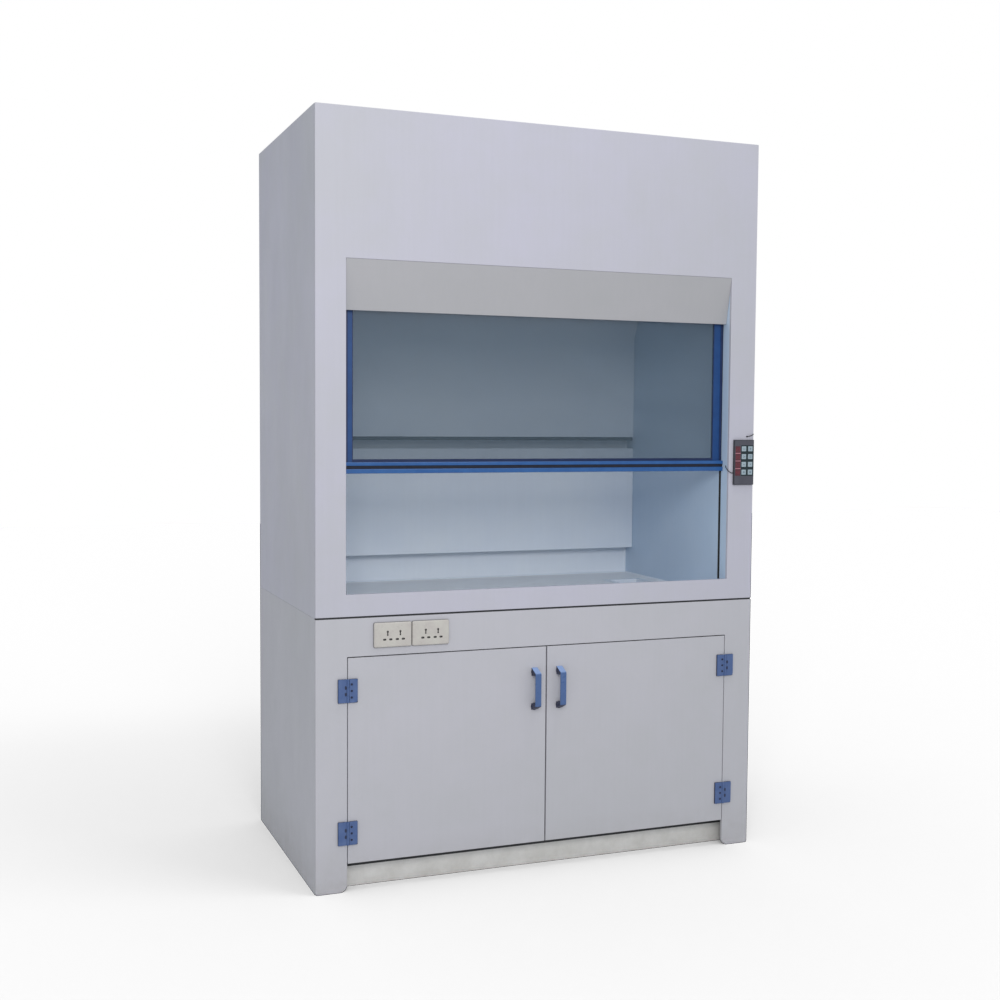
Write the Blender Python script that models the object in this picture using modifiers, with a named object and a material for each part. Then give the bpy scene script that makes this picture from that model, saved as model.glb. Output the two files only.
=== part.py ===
"""A laboratory fume hood in welded polypropylene sheet: a base cabinet with two
hinged doors, and above it a work chamber behind a counterbalanced sliding sash.
Metres, +Z up, origin at the bottom centre. The front faces -Y."""

from math import atan2, cos, pi, radians, sin

import bmesh
import bpy
from mathutils import Vector

# Driving dimensions
WIDTH = 1.500
DEPTH = 0.820
HEIGHT = 2.350
HANDLE_REACH = 0.035
SHEET = 0.012
LINER = 0.010
GAP = 0.0003
SEAM_Z = 0.8375
SEAM_GAP = 0.0055
BACK_INSET = 0.003

FRONT = -(DEPTH + HANDLE_REACH) / 2 + HANDLE_REACH
BACK = FRONT + DEPTH
HALF = WIDTH / 2
INNER = HALF - SHEET - GAP
PANEL_BACK = FRONT + SHEET
BEHIND_PANEL = PANEL_BACK + GAP
BACK_SHEET = (BACK - BACK_INSET - SHEET, BACK - BACK_INSET)
INSIDE_BACK = BACK_SHEET[0] - GAP

# Base cabinet
STILE_IN = 0.6525
DOOR_TOP = 0.7155
DOOR_TOP_GAP = 0.003
DOOR_LOW = 0.087
DOOR_SHEET = 0.015
DOOR_EDGE = 0.6505
DOOR_MEET = 0.002
FOOT_ROUND = 0.022
FLOOR_Z = 0.090
PLINTH_SETBACK = 0.050
SHELF_Z = 0.420
SHELF_FRONT = -0.100

# Hinges: the pin stands in front of the gap between door and stile
HINGE_X = 0.6515
HINGE_Y = FRONT - 0.0055
HINGE_LEAF = 0.006
HINGE_WIDTH = 0.0298
HINGE_HEIGHT = 0.071
HINGE_ROUND = 0.0015
HINGE_LOW_ROUND = 0.007
HINGE_MIDDLES = {"upper": 0.617, "lower": 0.182}
KNUCKLE_R = 0.0040
KNUCKLE_HOLE_R = 0.0017
HINGE_PIN_R = 0.0014

# Handles
HANDLE_XS = {"left": -0.0418, "right": 0.0443}
HANDLE_WIDTH = 0.0200
HANDLE_LOW = 0.516
HANDLE_TOP = 0.651

# Hood
OPEN_X = 0.656
OPEN_LOW = 0.907
OPEN_TOP = 1.907
WORKTOP_Z = 0.850
CEILING_Z = 2.150
CEILING_FRONT = -0.321
CEILING_SHEET = 0.008
BAFFLE_Y = 0.3025
BAFFLE_SHEET = 0.006
BAFFLE_LOW = 0.951
BAFFLE_SPLIT = (1.330, 1.3725)
BAFFLE_BEND = 1.747
BAFFLE_TOP_Y = 0.1005
REAR_LINER_Y = 0.360
LINTEL_LOW = 1.757
LINTEL_Y = -0.3622
LINTEL_SHEET = 0.006

# Sash, which slides up and down in slots in the side liners
SASH_Y = -0.336
SASH_THICK = 0.007
SLOT = 0.014
SLOT_LOW = 0.901
SLOT_TOP = 2.325
SASH_LOW = 1.268
RAIL_TOP = 1.303
SASH_TOP = 2.148
SASH_BORDER = 0.042
SASH_HALF = 0.662
WINDOW_X = 0.624
GLASS = 0.004
GLASS_HELD = 0.009
RAIL_BACK = -0.330
RAIL_FRONT = -0.354
GROOVE = (0.014, 0.024)

# Counterbalance in the hollow side walls
CABLE_X = 0.700
CABLE_R = 0.0015
PULLEY_R = 0.035
PULLEY_Y = SASH_Y + PULLEY_R
PULLEY_Z = 2.270
AXLE_R = 0.005
LUG_Z = 1.800
WEIGHT_TOP = 1.750
WEIGHT_LENGTH = 0.330
WEIGHT_SIDE = 0.048

# Sink, exhaust, lamp
SINK_X = 0.526
SINK_Y = -0.011
SINK_SIZE = (0.150, 0.300)
SINK_DEPTH = 0.120
SINK_WALL = 0.005
SINK_RIM = 0.014
SINK_PROUD = 0.0025
COLLAR_Y = 0.190
COLLAR_R = 0.125
COLLAR_WALL = 0.006
COLLAR_TOP = 2.430
LAMP_Y = -0.120
LAMP_SIZE = (0.640, 0.150, 0.060)

# Control panel and outlets
CONTROL_X = 0.709
CONTROL_Z = 1.298
CONTROL_SIZE = (0.076, 0.008, 0.150)
KEY_SIZE = (0.017, 0.0055, 0.017)
KEY_PROUD = 0.002
KEY_TRAVEL_ROOM = 0.0012
KEY_COLUMNS = (-0.001, 0.0235)
KEY_PITCH = 0.026
KEY_TOP_ROW = 0.045
OUTLET_XS = (-0.512, -0.391)
OUTLET_Z = 0.781
OUTLET_SIZE = (0.119, 0.009, 0.0755)

# Colours as 0 to 255 sRGB, with roughness and metallic value
FINISHES = {
    "shell": ((196, 195, 205), 0.45, 0.0),
    "plinth": ((184, 184, 180), 0.55, 0.0),
    "liner": ((176, 190, 206), 0.40, 0.0),
    "blue": ((52, 88, 150), 0.40, 0.0),
    "glass": ((205, 220, 225), 0.05, 0.0),
    "steel": ((165, 168, 172), 0.35, 1.0),
    "iron": ((70, 72, 76), 0.60, 0.8),
    "panel": ((64, 70, 77), 0.40, 0.0),
    "key": ((150, 162, 172), 0.45, 0.0),
    "outlet": ((224, 218, 208), 0.35, 0.0),
}

SIDES = {"left": -1, "right": 1}


def collection(name):
    group = bpy.data.collections.new(name)
    bpy.context.scene.collection.children.link(group)
    return group


def srgb(values):
    return [(v / 255 / 12.92 if v < 10 else ((v / 255 + 0.055) / 1.055) ** 2.4) for v in values]


def finish(obj, kind):
    colour, roughness, metallic = FINISHES[kind]
    made = bpy.data.materials.new(obj.name)
    made.use_nodes = True
    shader = made.node_tree.nodes["Principled BSDF"]
    shader.inputs["Base Color"].default_value = (*srgb(colour), 1)
    shader.inputs["Roughness"].default_value = roughness
    shader.inputs["Metallic"].default_value = metallic
    obj.data.materials.clear()
    obj.data.materials.append(made)


def place(name, mesh, centre, kind):
    """Links a mesh as a part, or as a cutter when it has no finish."""
    obj = bpy.data.objects.new(name, mesh)
    obj.location = centre
    if kind is None:
        cutters.objects.link(obj)
        obj.hide_render = True
        obj.display_type = "WIRE"
    else:
        parts.objects.link(obj)
        finish(obj, kind)
    return obj


def box(name, low, high, kind=None):
    """A block between two corners."""
    low, high = Vector(low), Vector(high)
    mesh = bpy.data.meshes.new(name)
    shape = bmesh.new()
    bmesh.ops.create_cube(shape, size=1.0)
    bmesh.ops.scale(shape, vec=high - low, verts=shape.verts)
    shape.to_mesh(mesh)
    shape.free()
    return place(name, mesh, (low + high) / 2, kind)


def cylinder(name, centre, radius, length, axis="Z", kind=None, sides=24):
    mesh = bpy.data.meshes.new(name)
    shape = bmesh.new()
    bmesh.ops.create_cone(
        shape, cap_ends=True, segments=sides, radius1=radius, radius2=radius, depth=length
    )
    shape.to_mesh(mesh)
    shape.free()
    obj = place(name, mesh, centre, kind)
    obj.rotation_euler = {"X": (0, pi / 2, 0), "Y": (pi / 2, 0, 0), "Z": (0, 0, 0)}[axis]
    smooth(obj)
    return obj


def smooth(obj, angle=40):
    obj.data.shade_smooth()
    obj.data.set_sharp_from_angle(angle=radians(angle))


def mesh_from(curve):
    """Turns a curve into a mesh with its caps welded, in the same place."""
    graph = bpy.context.evaluated_depsgraph_get()
    mesh = bpy.data.meshes.new_from_object(curve.evaluated_get(graph))
    shape = bmesh.new()
    shape.from_mesh(mesh)
    bmesh.ops.remove_doubles(shape, verts=shape.verts, dist=0.00001)
    bmesh.ops.recalc_face_normals(shape, faces=shape.faces)
    shape.to_mesh(mesh)
    shape.free()
    place_of = curve.matrix_world.copy()
    bpy.data.objects.remove(curve)
    return mesh, place_of


def prism(name, outline, low, high, axis, kind=None):
    """An outline extruded along X, Y or Z. The outline's points are (y, z), (x, z) or (x, y)."""
    flat = bpy.data.curves.new(name, "CURVE")
    flat.dimensions = "2D"
    flat.fill_mode = "BOTH"
    flat.extrude = (high - low) / 2
    line = flat.splines.new("POLY")
    line.points.add(len(outline) - 1)
    for point, (u, v) in zip(line.points, outline):
        point.co = (u, v, 0, 1)
    line.use_cyclic_u = True
    curve = bpy.data.objects.new(name, flat)
    bpy.context.scene.collection.objects.link(curve)
    middle = (low + high) / 2
    turns = {"X": (pi / 2, 0, pi / 2), "Y": (pi / 2, 0, 0), "Z": (0, 0, 0)}
    curve.rotation_euler = turns[axis]
    curve.location = {"X": (middle, 0, 0), "Y": (0, middle, 0), "Z": (0, 0, middle)}[axis]
    bpy.context.view_layer.update()
    mesh, where = mesh_from(curve)
    obj = place(name, mesh, (0, 0, 0), kind)
    obj.matrix_world = where
    return obj


def tube(name, route, radius, kind):
    """A round wire along a list of points, with closed ends."""
    wire = bpy.data.curves.new(name, "CURVE")
    wire.dimensions = "3D"
    wire.bevel_depth = radius
    wire.bevel_resolution = 2
    wire.use_fill_caps = True
    line = wire.splines.new("POLY")
    line.points.add(len(route) - 1)
    for point, where in zip(line.points, route):
        point.co = (*where, 1)
    curve = bpy.data.objects.new(name, wire)
    bpy.context.scene.collection.objects.link(curve)
    bpy.context.view_layer.update()
    mesh, _ = mesh_from(curve)
    obj = place(name, mesh, (0, 0, 0), kind)
    smooth(obj)
    return obj


def turned(name, profile, centre, axis, kind, steps=32):
    """A closed (radius, height) profile turned about an axis through the centre."""
    mesh = bpy.data.meshes.new(name)
    count = len(profile)
    edges = [(i, (i + 1) % count) for i in range(count)]
    mesh.from_pydata([(r, 0, h) for r, h in profile], edges, [])
    obj = place(name, mesh, centre, kind)
    screw = obj.modifiers.new("turn", "SCREW")
    screw.steps = steps
    screw.render_steps = steps
    screw.use_merge_vertices = True
    screw.merge_threshold = 0.00001
    obj.rotation_euler = {"X": (0, pi / 2, 0), "Z": (0, 0, 0)}[axis]
    return obj


def rounded(points, radii, steps=6):
    """An outline whose corners are arcs of the given radii, 0 for a sharp corner."""
    outline = []
    count = len(points)
    for i, radius in enumerate(radii):
        corner = Vector(points[i])
        if radius == 0:
            outline.append(tuple(corner))
            continue
        before = (Vector(points[i - 1]) - corner).normalized()
        after = (Vector(points[(i + 1) % count]) - corner).normalized()
        half_angle = before.angle(after) / 2
        centre = corner + (before + after).normalized() * (radius / sin(half_angle))
        reach = radius / sin(half_angle) * cos(half_angle)
        start = corner + before * reach - centre
        sweep = start.angle_signed(corner + after * reach - centre)
        first = atan2(start.y, start.x)
        for step in range(steps + 1):
            angle = first - sweep * step / steps
            outline.append((centre.x + radius * cos(angle), centre.y + radius * sin(angle)))
    return outline


def boolean(obj, other, operation="DIFFERENCE"):
    change = obj.modifiers.new(other.name, "BOOLEAN")
    change.operation = operation
    change.object = other
    change.solver = "EXACT"


def soften(obj, width, segments=1):
    edge = obj.modifiers.new("edges", "BEVEL")
    edge.width = width
    edge.segments = segments
    edge.limit_method = "ANGLE"


def axis_empty(name, where):
    empty = bpy.data.objects.new(name, None)
    empty.location = where
    empty.empty_display_size = 0.05
    bpy.context.scene.collection.objects.link(empty)
    return empty


def attach(empty, *pieces):
    """Parents pieces to the empty on their joint's axis, where they stand."""
    bpy.context.view_layer.update()
    for piece in pieces:
        where = piece.matrix_world.copy()
        piece.parent = empty
        piece.matrix_world = where


def base_cabinet():
    side_top = SEAM_Z - GAP / 2
    for side, sign in SIDES.items():
        xs = sorted((sign * (HALF - SHEET), sign * HALF))
        low = (xs[0], BEHIND_PANEL, 0)
        box(f"base_side_{side}", low, (xs[1], BACK, side_top), "shell")
    box("base_back_panel", (-INNER, BACK_SHEET[0], 0), (INNER, BACK_SHEET[1], side_top), "shell")
    floor_front = FRONT + DOOR_SHEET + 0.001
    floor_top = FLOOR_Z + SHEET
    box("base_floor_panel", (-INNER, floor_front, FLOOR_Z), (INNER, INSIDE_BACK, floor_top), "shell")
    plinth_y = FRONT + PLINTH_SETBACK
    plinth_high = (INNER, plinth_y + SHEET, FLOOR_Z - GAP)
    box("plinth_board", (-INNER, plinth_y, 0), plinth_high, "plinth")
    shelf_top = SHELF_Z + LINER
    box("inner_shelf", (-INNER, SHELF_FRONT, SHELF_Z), (INNER, INSIDE_BACK, shelf_top), "shell")
    base_front_frame()


def base_front_frame():
    """One sheet: two stiles that end in feet, and the rail above the doors."""
    top = SEAM_Z - SEAM_GAP / 2
    rail_low = DOOR_TOP + DOOR_TOP_GAP
    corners = [
        (-HALF, 0),
        (-STILE_IN, 0),
        (-STILE_IN, rail_low),
        (STILE_IN, rail_low),
        (STILE_IN, 0),
        (HALF, 0),
        (HALF, top),
        (-HALF, top),
    ]
    foot = FOOT_ROUND
    outline = rounded(corners, [0.006, foot, 0, 0, foot, 0.006, 0, 0])
    prism("base_front_frame", outline, FRONT, PANEL_BACK, "Y", "shell")


def doors():
    for side, sign in SIDES.items():
        xs = sorted((sign * DOOR_MEET, sign * DOOR_EDGE))
        low = (xs[0], FRONT, DOOR_LOW)
        door = box(f"door_{side}", low, (xs[1], FRONT + DOOR_SHEET, DOOR_TOP), "shell")
        soften(door, 0.001)
        handle = bow_handle(side)
        leaves = [hinge(side, sign, level, middle) for level, middle in HINGE_MIDDLES.items()]
        pivot = axis_empty(f"door_{side}_axis", (sign * HINGE_X, HINGE_Y, 0))
        attach(pivot, door, handle, *leaves)


def bow_handle(side):
    """A flat bow whose two arms spread towards the door."""
    foot_y = FRONT - GAP
    grip_y = FRONT - HANDLE_REACH
    inner_y = grip_y + 0.006
    corners = [
        (foot_y, HANDLE_TOP),
        (grip_y, HANDLE_TOP - 0.015),
        (grip_y, HANDLE_LOW + 0.015),
        (foot_y, HANDLE_LOW),
        (foot_y, HANDLE_LOW + 0.020),
        (inner_y, HANDLE_LOW + 0.026),
        (inner_y, HANDLE_TOP - 0.028),
        (foot_y, HANDLE_TOP - 0.024),
    ]
    outline = rounded(corners, [0, 0.004, 0.006, 0, 0, 0.004, 0.004, 0], steps=4)
    low = HANDLE_XS[side] - HANDLE_WIDTH / 2
    handle = prism(f"handle_{side}", outline, low, low + HANDLE_WIDTH, "X", "blue")
    soften(handle, 0.0012)
    return handle


def hinge(side, sign, level, middle):
    """Two leaves whose knuckles share a pin. Returns the leaf that turns with the door."""
    where = f"{side}_{level}"
    low = middle - HINGE_HEIGHT / 2
    third = HINGE_HEIGHT / 3
    spans = [(low, low + third), (low + 2 * third, low + 3 * third)]
    hinge_leaf(f"hinge_frame_leaf_{where}", sign, sign, low, spans)
    door_spans = [(low + third + GAP, low + 2 * third - GAP)]
    door_leaf = hinge_leaf(f"hinge_door_leaf_{where}", sign, -sign, low, door_spans)
    pin_at = (sign * HINGE_X, HINGE_Y, middle)
    pin_length = HINGE_HEIGHT - 0.002
    cylinder(f"hinge_pin_{where}", pin_at, HINGE_PIN_R, pin_length, kind="steel", sides=16)
    return door_leaf


def hinge_leaf(name, side_sign, towards, low, spans):
    axis_x = side_sign * HINGE_X
    plate_ys = (FRONT - GAP - HINGE_LEAF, FRONT - GAP)
    root_x = axis_x + towards * (KNUCKLE_R + 0.0006)
    end_x = axis_x + towards * HINGE_WIDTH
    high = low + HINGE_HEIGHT
    corners = [(root_x, low), (end_x, low), (end_x, high), (root_x, high)]
    low_round = HINGE_LOW_ROUND if towards > 0 else HINGE_ROUND
    outline = rounded(corners, [0, low_round, HINGE_ROUND, 0], steps=3)
    leaf = prism(name, outline, *plate_ys, "Y", "blue")
    web_xs = sorted((axis_x + towards * 0.0012, root_x + towards * 0.002))
    web_ys = (plate_ys[0] + 0.0003, plate_ys[1] - 0.0003)
    for number, (bottom, top) in enumerate(spans):
        inset = 0.0002
        web_low = (web_xs[0], web_ys[0], bottom + inset)
        web = box(f"{name}_web_{number}", web_low, (web_xs[1], web_ys[1], top - inset))
        centre = (axis_x, HINGE_Y, (bottom + top) / 2)
        length = top - bottom
        knuckle = cylinder(f"{name}_knuckle_{number}", centre, KNUCKLE_R, length, sides=16)
        boolean(leaf, web, "UNION")
        boolean(leaf, knuckle, "UNION")
    bore_at = (axis_x, HINGE_Y, low + HINGE_HEIGHT / 2)
    boolean(leaf, cylinder(f"{name}_bore", bore_at, KNUCKLE_HOLE_R, 0.1, sides=16))
    return leaf


def hood_shell():
    low_z = SEAM_Z + GAP
    for side, sign in SIDES.items():
        xs = sorted((sign * (HALF - SHEET), sign * HALF))
        low = (xs[0], BEHIND_PANEL, low_z)
        box(f"hood_side_{side}", low, (xs[1], BACK, HEIGHT), "shell")
    top_low = HEIGHT - SHEET
    top = box("hood_top_panel", (-INNER, BEHIND_PANEL, top_low), (INNER, BACK, HEIGHT), "shell")
    duct_at = (0, COLLAR_Y, HEIGHT)
    duct_r = COLLAR_R - COLLAR_WALL
    boolean(top, cylinder("duct_cutter", duct_at, duct_r, 0.1, sides=48))
    back_low = (-INNER, BACK_SHEET[0], low_z)
    box("hood_back_panel", back_low, (INNER, BACK_SHEET[1], top_low - GAP), "shell")
    front_low = (-HALF, FRONT, SEAM_Z + SEAM_GAP / 2)
    front = box("front_panel", front_low, (HALF, PANEL_BACK, HEIGHT), "shell")
    opening_low = (-OPEN_X, FRONT - 0.05, OPEN_LOW)
    boolean(front, box("opening_cutter", opening_low, (OPEN_X, FRONT + 0.05, OPEN_TOP)))
    lintel_top = OPEN_TOP - GAP
    lintel_back = LINTEL_Y + LINTEL_SHEET
    slope = FRONT + GAP
    lintel = [
        (slope, lintel_top),
        (LINTEL_Y, LINTEL_LOW),
        (lintel_back, LINTEL_LOW),
        (slope + LINTEL_SHEET, lintel_top),
    ]
    half = OPEN_X - GAP
    prism("lintel_panel", lintel, -half, half, "X", "shell")


def chamber():
    half = OPEN_X - GAP
    low_z = SEAM_Z + 2 * GAP
    top_z = HEIGHT - SHEET - GAP
    for side, sign in SIDES.items():
        xs = sorted((sign * OPEN_X, sign * (OPEN_X + LINER)))
        low = (xs[0], BEHIND_PANEL, low_z)
        liner = box(f"liner_{side}", low, (xs[1], INSIDE_BACK, top_z), "liner")
        slot_low = (xs[0] - 0.01, SASH_Y - SLOT / 2, SLOT_LOW)
        slot_high = (xs[1] + 0.01, SASH_Y + SLOT / 2, SLOT_TOP)
        boolean(liner, box(f"slot_cutter_{side}", slot_low, slot_high))
    rear_low = (-half, REAR_LINER_Y, low_z)
    box("rear_liner", rear_low, (half, REAR_LINER_Y + LINER, top_z), "liner")
    ceiling_low = (-half, CEILING_FRONT, CEILING_Z)
    ceiling_high = (half, BAFFLE_TOP_Y - 0.001, CEILING_Z + CEILING_SHEET)
    ceiling = box("chamber_ceiling", ceiling_low, ceiling_high, "liner")
    lamp_x, lamp_y, lamp_z = LAMP_SIZE
    rim = 0.02
    hole_low = (rim - lamp_x / 2, LAMP_Y + rim - lamp_y / 2, CEILING_Z - 0.02)
    hole_high = (lamp_x / 2 - rim, LAMP_Y + lamp_y / 2 - rim, CEILING_Z + 0.02)
    boolean(ceiling, box("lamp_cutter", hole_low, hole_high))
    baffle_low_end = (half, BAFFLE_Y + BAFFLE_SHEET, BAFFLE_SPLIT[0])
    box("baffle_lower", (-half, BAFFLE_Y, BAFFLE_LOW), baffle_low_end, "liner")
    bent = [
        (BAFFLE_Y, BAFFLE_SPLIT[1]),
        (BAFFLE_Y + BAFFLE_SHEET, BAFFLE_SPLIT[1]),
        (BAFFLE_Y + BAFFLE_SHEET, BAFFLE_BEND + 0.0015),
        (BAFFLE_TOP_Y + BAFFLE_SHEET, CEILING_Z),
        (BAFFLE_TOP_Y, CEILING_Z),
        (BAFFLE_Y, BAFFLE_BEND),
    ]
    prism("baffle_upper", bent, -half, half, "X", "liner")
    lamp(lamp_x, lamp_y, lamp_z)


def lamp(width, depth, height):
    """An open-bottomed housing over the hole in the chamber's ceiling."""
    bottom = CEILING_Z + CEILING_SHEET + GAP
    low = (-width / 2, LAMP_Y - depth / 2, bottom)
    housing = box("lamp_housing", low, (width / 2, LAMP_Y + depth / 2, bottom + height), "shell")
    wall = 0.003
    hollow_low = (low[0] + wall, low[1] + wall, bottom - 0.02)
    hollow_high = (width / 2 - wall, LAMP_Y + depth / 2 - wall, bottom + height - wall)
    boolean(housing, box("lamp_hollow_cutter", hollow_low, hollow_high))


def worktop_and_sink():
    half = OPEN_X - GAP
    low = (-half, BEHIND_PANEL, SEAM_Z + 2 * GAP)
    top = box("worktop", low, (half, REAR_LINER_Y - GAP, WORKTOP_Z), "liner")
    width, depth = SINK_SIZE
    bowl_w, bowl_d = width / 2 - SINK_RIM, depth / 2 - SINK_RIM
    bottom = WORKTOP_Z - SINK_DEPTH
    hole_w, hole_d = bowl_w + GAP, bowl_d + GAP
    hole_low = (SINK_X - hole_w, SINK_Y - hole_d, WORKTOP_Z - 0.03)
    boolean(top, box("sink_hole_cutter", hole_low, (SINK_X + hole_w, SINK_Y + hole_d, WORKTOP_Z + 0.03)))
    rim_low = (SINK_X - width / 2, SINK_Y - depth / 2, WORKTOP_Z + GAP)
    rim_high = (SINK_X + width / 2, SINK_Y + depth / 2, WORKTOP_Z + SINK_PROUD)
    sink = box("cup_sink", rim_low, rim_high, "liner")
    body_low = (SINK_X - bowl_w, SINK_Y - bowl_d, bottom)
    body = box("sink_body", body_low, (SINK_X + bowl_w, SINK_Y + bowl_d, WORKTOP_Z + 0.0015))
    boolean(sink, body, "UNION")
    spigot_at = (SINK_X, SINK_Y, bottom - 0.025)
    boolean(sink, cylinder("sink_spigot", spigot_at, 0.022, 0.060), "UNION")
    wall = SINK_WALL
    inner_low = (body_low[0] + wall, body_low[1] + wall, bottom + wall)
    inner_high = (SINK_X + bowl_w - wall, SINK_Y + bowl_d - wall, WORKTOP_Z + 0.02)
    boolean(sink, box("sink_hollow_cutter", inner_low, inner_high))
    boolean(sink, cylinder("sink_drain_cutter", spigot_at, 0.018, 0.100))


def exhaust():
    """A flanged spigot on the roof that a duct slides over."""
    flange_r = COLLAR_R + 0.030
    low = HEIGHT + GAP
    flange_top = low + COLLAR_WALL
    inner_r = COLLAR_R - COLLAR_WALL
    profile = [
        (COLLAR_R, COLLAR_TOP),
        (COLLAR_R, flange_top),
        (flange_r, flange_top),
        (flange_r, low),
        (inner_r, low),
        (inner_r, COLLAR_TOP),
    ]
    turned("exhaust_collar", profile, (0, COLLAR_Y, 0), "Z", "shell", steps=48)


def sash():
    half_thick = SASH_THICK / 2
    slab_low = (-SASH_HALF, SASH_Y - half_thick, SASH_LOW + 0.004)
    frame = box("sash_frame", slab_low, (SASH_HALF, SASH_Y + half_thick, SASH_TOP), "blue")
    rail = prism("sash_rail", rail_outline(), 0.0005 - OPEN_X, OPEN_X - 0.0005, "X")
    boolean(frame, rail, "UNION")
    for side, sign in SIDES.items():
        xs = sorted((sign * (WINDOW_X + 0.02), sign * (CABLE_X + 0.010)))
        lug_low = (xs[0], SASH_Y - 0.0025, LUG_Z - 0.02)
        lug = box(f"sash_lug_{side}", lug_low, (xs[1], SASH_Y + 0.0025, LUG_Z + 0.02))
        boolean(frame, lug, "UNION")
    window_top = SASH_TOP - SASH_BORDER
    window_low = (-WINDOW_X, SASH_Y - 0.05, RAIL_TOP)
    boolean(frame, box("window_cutter", window_low, (WINDOW_X, SASH_Y + 0.05, window_top)))
    held = GLASS_HELD
    low = Vector((-WINDOW_X - held, SASH_Y - GLASS / 2, RAIL_TOP - held))
    high = Vector((WINDOW_X + held, SASH_Y + GLASS / 2, window_top + held))
    around = Vector((GAP, GAP, GAP))
    boolean(frame, box("glass_cutter", low - around, high + around))
    glass = box("sash_glass", low, high, "glass")
    attach(axis_empty("sash_axis", (0, SASH_Y, SASH_LOW)), frame, glass)


def rail_outline():
    """Bottom rail of the sash: a proud face, a finger groove and a lip below it."""
    lip_y = RAIL_FRONT + 0.002
    groove_y = RAIL_FRONT + 0.012
    return [
        (RAIL_BACK, SASH_LOW),
        (RAIL_BACK, RAIL_TOP - 0.0005),
        (lip_y, RAIL_TOP - 0.0005),
        (RAIL_FRONT, RAIL_TOP - 0.0025),
        (RAIL_FRONT, SASH_LOW + GROOVE[1]),
        (groove_y, SASH_LOW + GROOVE[1]),
        (groove_y, SASH_LOW + GROOVE[0]),
        (lip_y, SASH_LOW + GROOVE[0]),
        (RAIL_FRONT, SASH_LOW + GROOVE[0] - 0.002),
        (RAIL_FRONT, SASH_LOW + 0.001),
        (lip_y, SASH_LOW),
    ]


def counterbalance():
    for side, sign in SIDES.items():
        x = sign * CABLE_X
        centre = (x, PULLEY_Y, PULLEY_Z)
        pulley = turned(f"pulley_{side}", pulley_profile(), centre, "X", "panel", steps=32)
        attach(axis_empty(f"pulley_{side}_axis", centre), pulley)
        pulley_bracket(side, x)
        weight_x, weight_y = x, PULLEY_Y + PULLEY_R
        reach = WEIGHT_SIDE / 2
        low = (weight_x - reach, weight_y - reach, WEIGHT_TOP - WEIGHT_LENGTH)
        high = (weight_x + reach, weight_y + reach, WEIGHT_TOP)
        weight = box(f"counterweight_{side}", low, high, "iron")
        soften(weight, 0.003)
        attach(axis_empty(f"counterweight_{side}_axis", (weight_x, weight_y, WEIGHT_TOP)), weight)
        tube(f"sash_cable_{side}", cable_route(x), CABLE_R, "steel")


def pulley_profile():
    """Half section of a grooved wheel with a plain bore."""
    rim_r = PULLEY_R + 0.005
    groove_r = PULLEY_R - CABLE_R - 0.001
    bore_r = AXLE_R + GAP
    half = 0.006
    return [
        (rim_r, half),
        (rim_r, 0.0045),
        (groove_r, 0.0022),
        (groove_r, -0.0022),
        (rim_r, -0.0045),
        (rim_r, -half),
        (bore_r, -half),
        (bore_r, half),
    ]


def pulley_bracket(side, x):
    """Two cheeks under the roof with the pulley's axle across them."""
    top = HEIGHT - SHEET - GAP
    low = PULLEY_Z - 0.014
    cheek, room = 0.003, 0.0065
    outer = room + cheek
    fork = [
        (x - outer, low),
        (x - room, low),
        (x - room, top - cheek),
        (x + room, top - cheek),
        (x + room, low),
        (x + outer, low),
        (x + outer, top),
        (x - outer, top),
    ]
    reach = 0.012
    bracket = prism(
        f"pulley_bracket_{side}", fork, PULLEY_Y - reach, PULLEY_Y + reach, "Y", "steel"
    )
    axle_at = (x, PULLEY_Y, PULLEY_Z)
    axle = cylinder(f"pulley_axle_{side}", axle_at, AXLE_R, 2 * outer + 0.004, "X")
    boolean(bracket, axle, "UNION")


def cable_route(x):
    """Up from the sash lug, half a turn over the pulley, down to the counterweight."""
    start_z = LUG_Z + 0.02 + GAP
    end_z = WEIGHT_TOP + GAP
    steps = 18
    over = [pi - pi * step / steps for step in range(steps + 1)]
    arc = [(x, PULLEY_Y + PULLEY_R * cos(a), PULLEY_Z + PULLEY_R * sin(a)) for a in over]
    return [(x, SASH_Y, start_z), *arc, (x, PULLEY_Y + PULLEY_R, end_z)]


def control_panel():
    width, depth, height = CONTROL_SIZE
    front_y = FRONT - GAP - depth
    low = (CONTROL_X - width / 2, front_y, CONTROL_Z - height / 2)
    high = (CONTROL_X + width / 2, FRONT - GAP, CONTROL_Z + height / 2)
    panel = box("control_panel", low, high, "panel")
    key_w, key_d, key_h = KEY_SIZE
    number = 0
    for row in range(4):
        for column in KEY_COLUMNS:
            number += 1
            x = CONTROL_X + column
            z = CONTROL_Z + KEY_TOP_ROW - row * KEY_PITCH
            key_front = front_y - KEY_PROUD
            key_low = (x - key_w / 2, key_front, z - key_h / 2)
            key_high = (x + key_w / 2, key_front + key_d, z + key_h / 2)
            key = box(f"key_{number}", key_low, key_high, "key")
            soften(key, 0.0008)
            pocket_low = (key_low[0] - GAP, front_y - 0.01, key_low[2] - GAP)
            pocket_back = key_high[1] + KEY_TRAVEL_ROOM
            pocket_high = (key_high[0] + GAP, pocket_back, key_high[2] + GAP)
            boolean(panel, box(f"key_pocket_{number}", pocket_low, pocket_high))


def outlets():
    width, depth, height = OUTLET_SIZE
    for number, x in enumerate(OUTLET_XS, start=1):
        low = (x - width / 2, FRONT - GAP - depth, OUTLET_Z - height / 2)
        high = (x + width / 2, FRONT - GAP, OUTLET_Z + height / 2)
        plate = box(f"outlet_plate_{number}", low, high, "outlet")
        soften(plate, 0.002)


for old in list(bpy.data.objects):
    bpy.data.objects.remove(old)
parts = collection("fume_hood")
cutters = collection("cutters")
base_cabinet()
doors()
hood_shell()
chamber()
worktop_and_sink()
exhaust()
sash()
counterbalance()
control_panel()
outlets()
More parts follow.
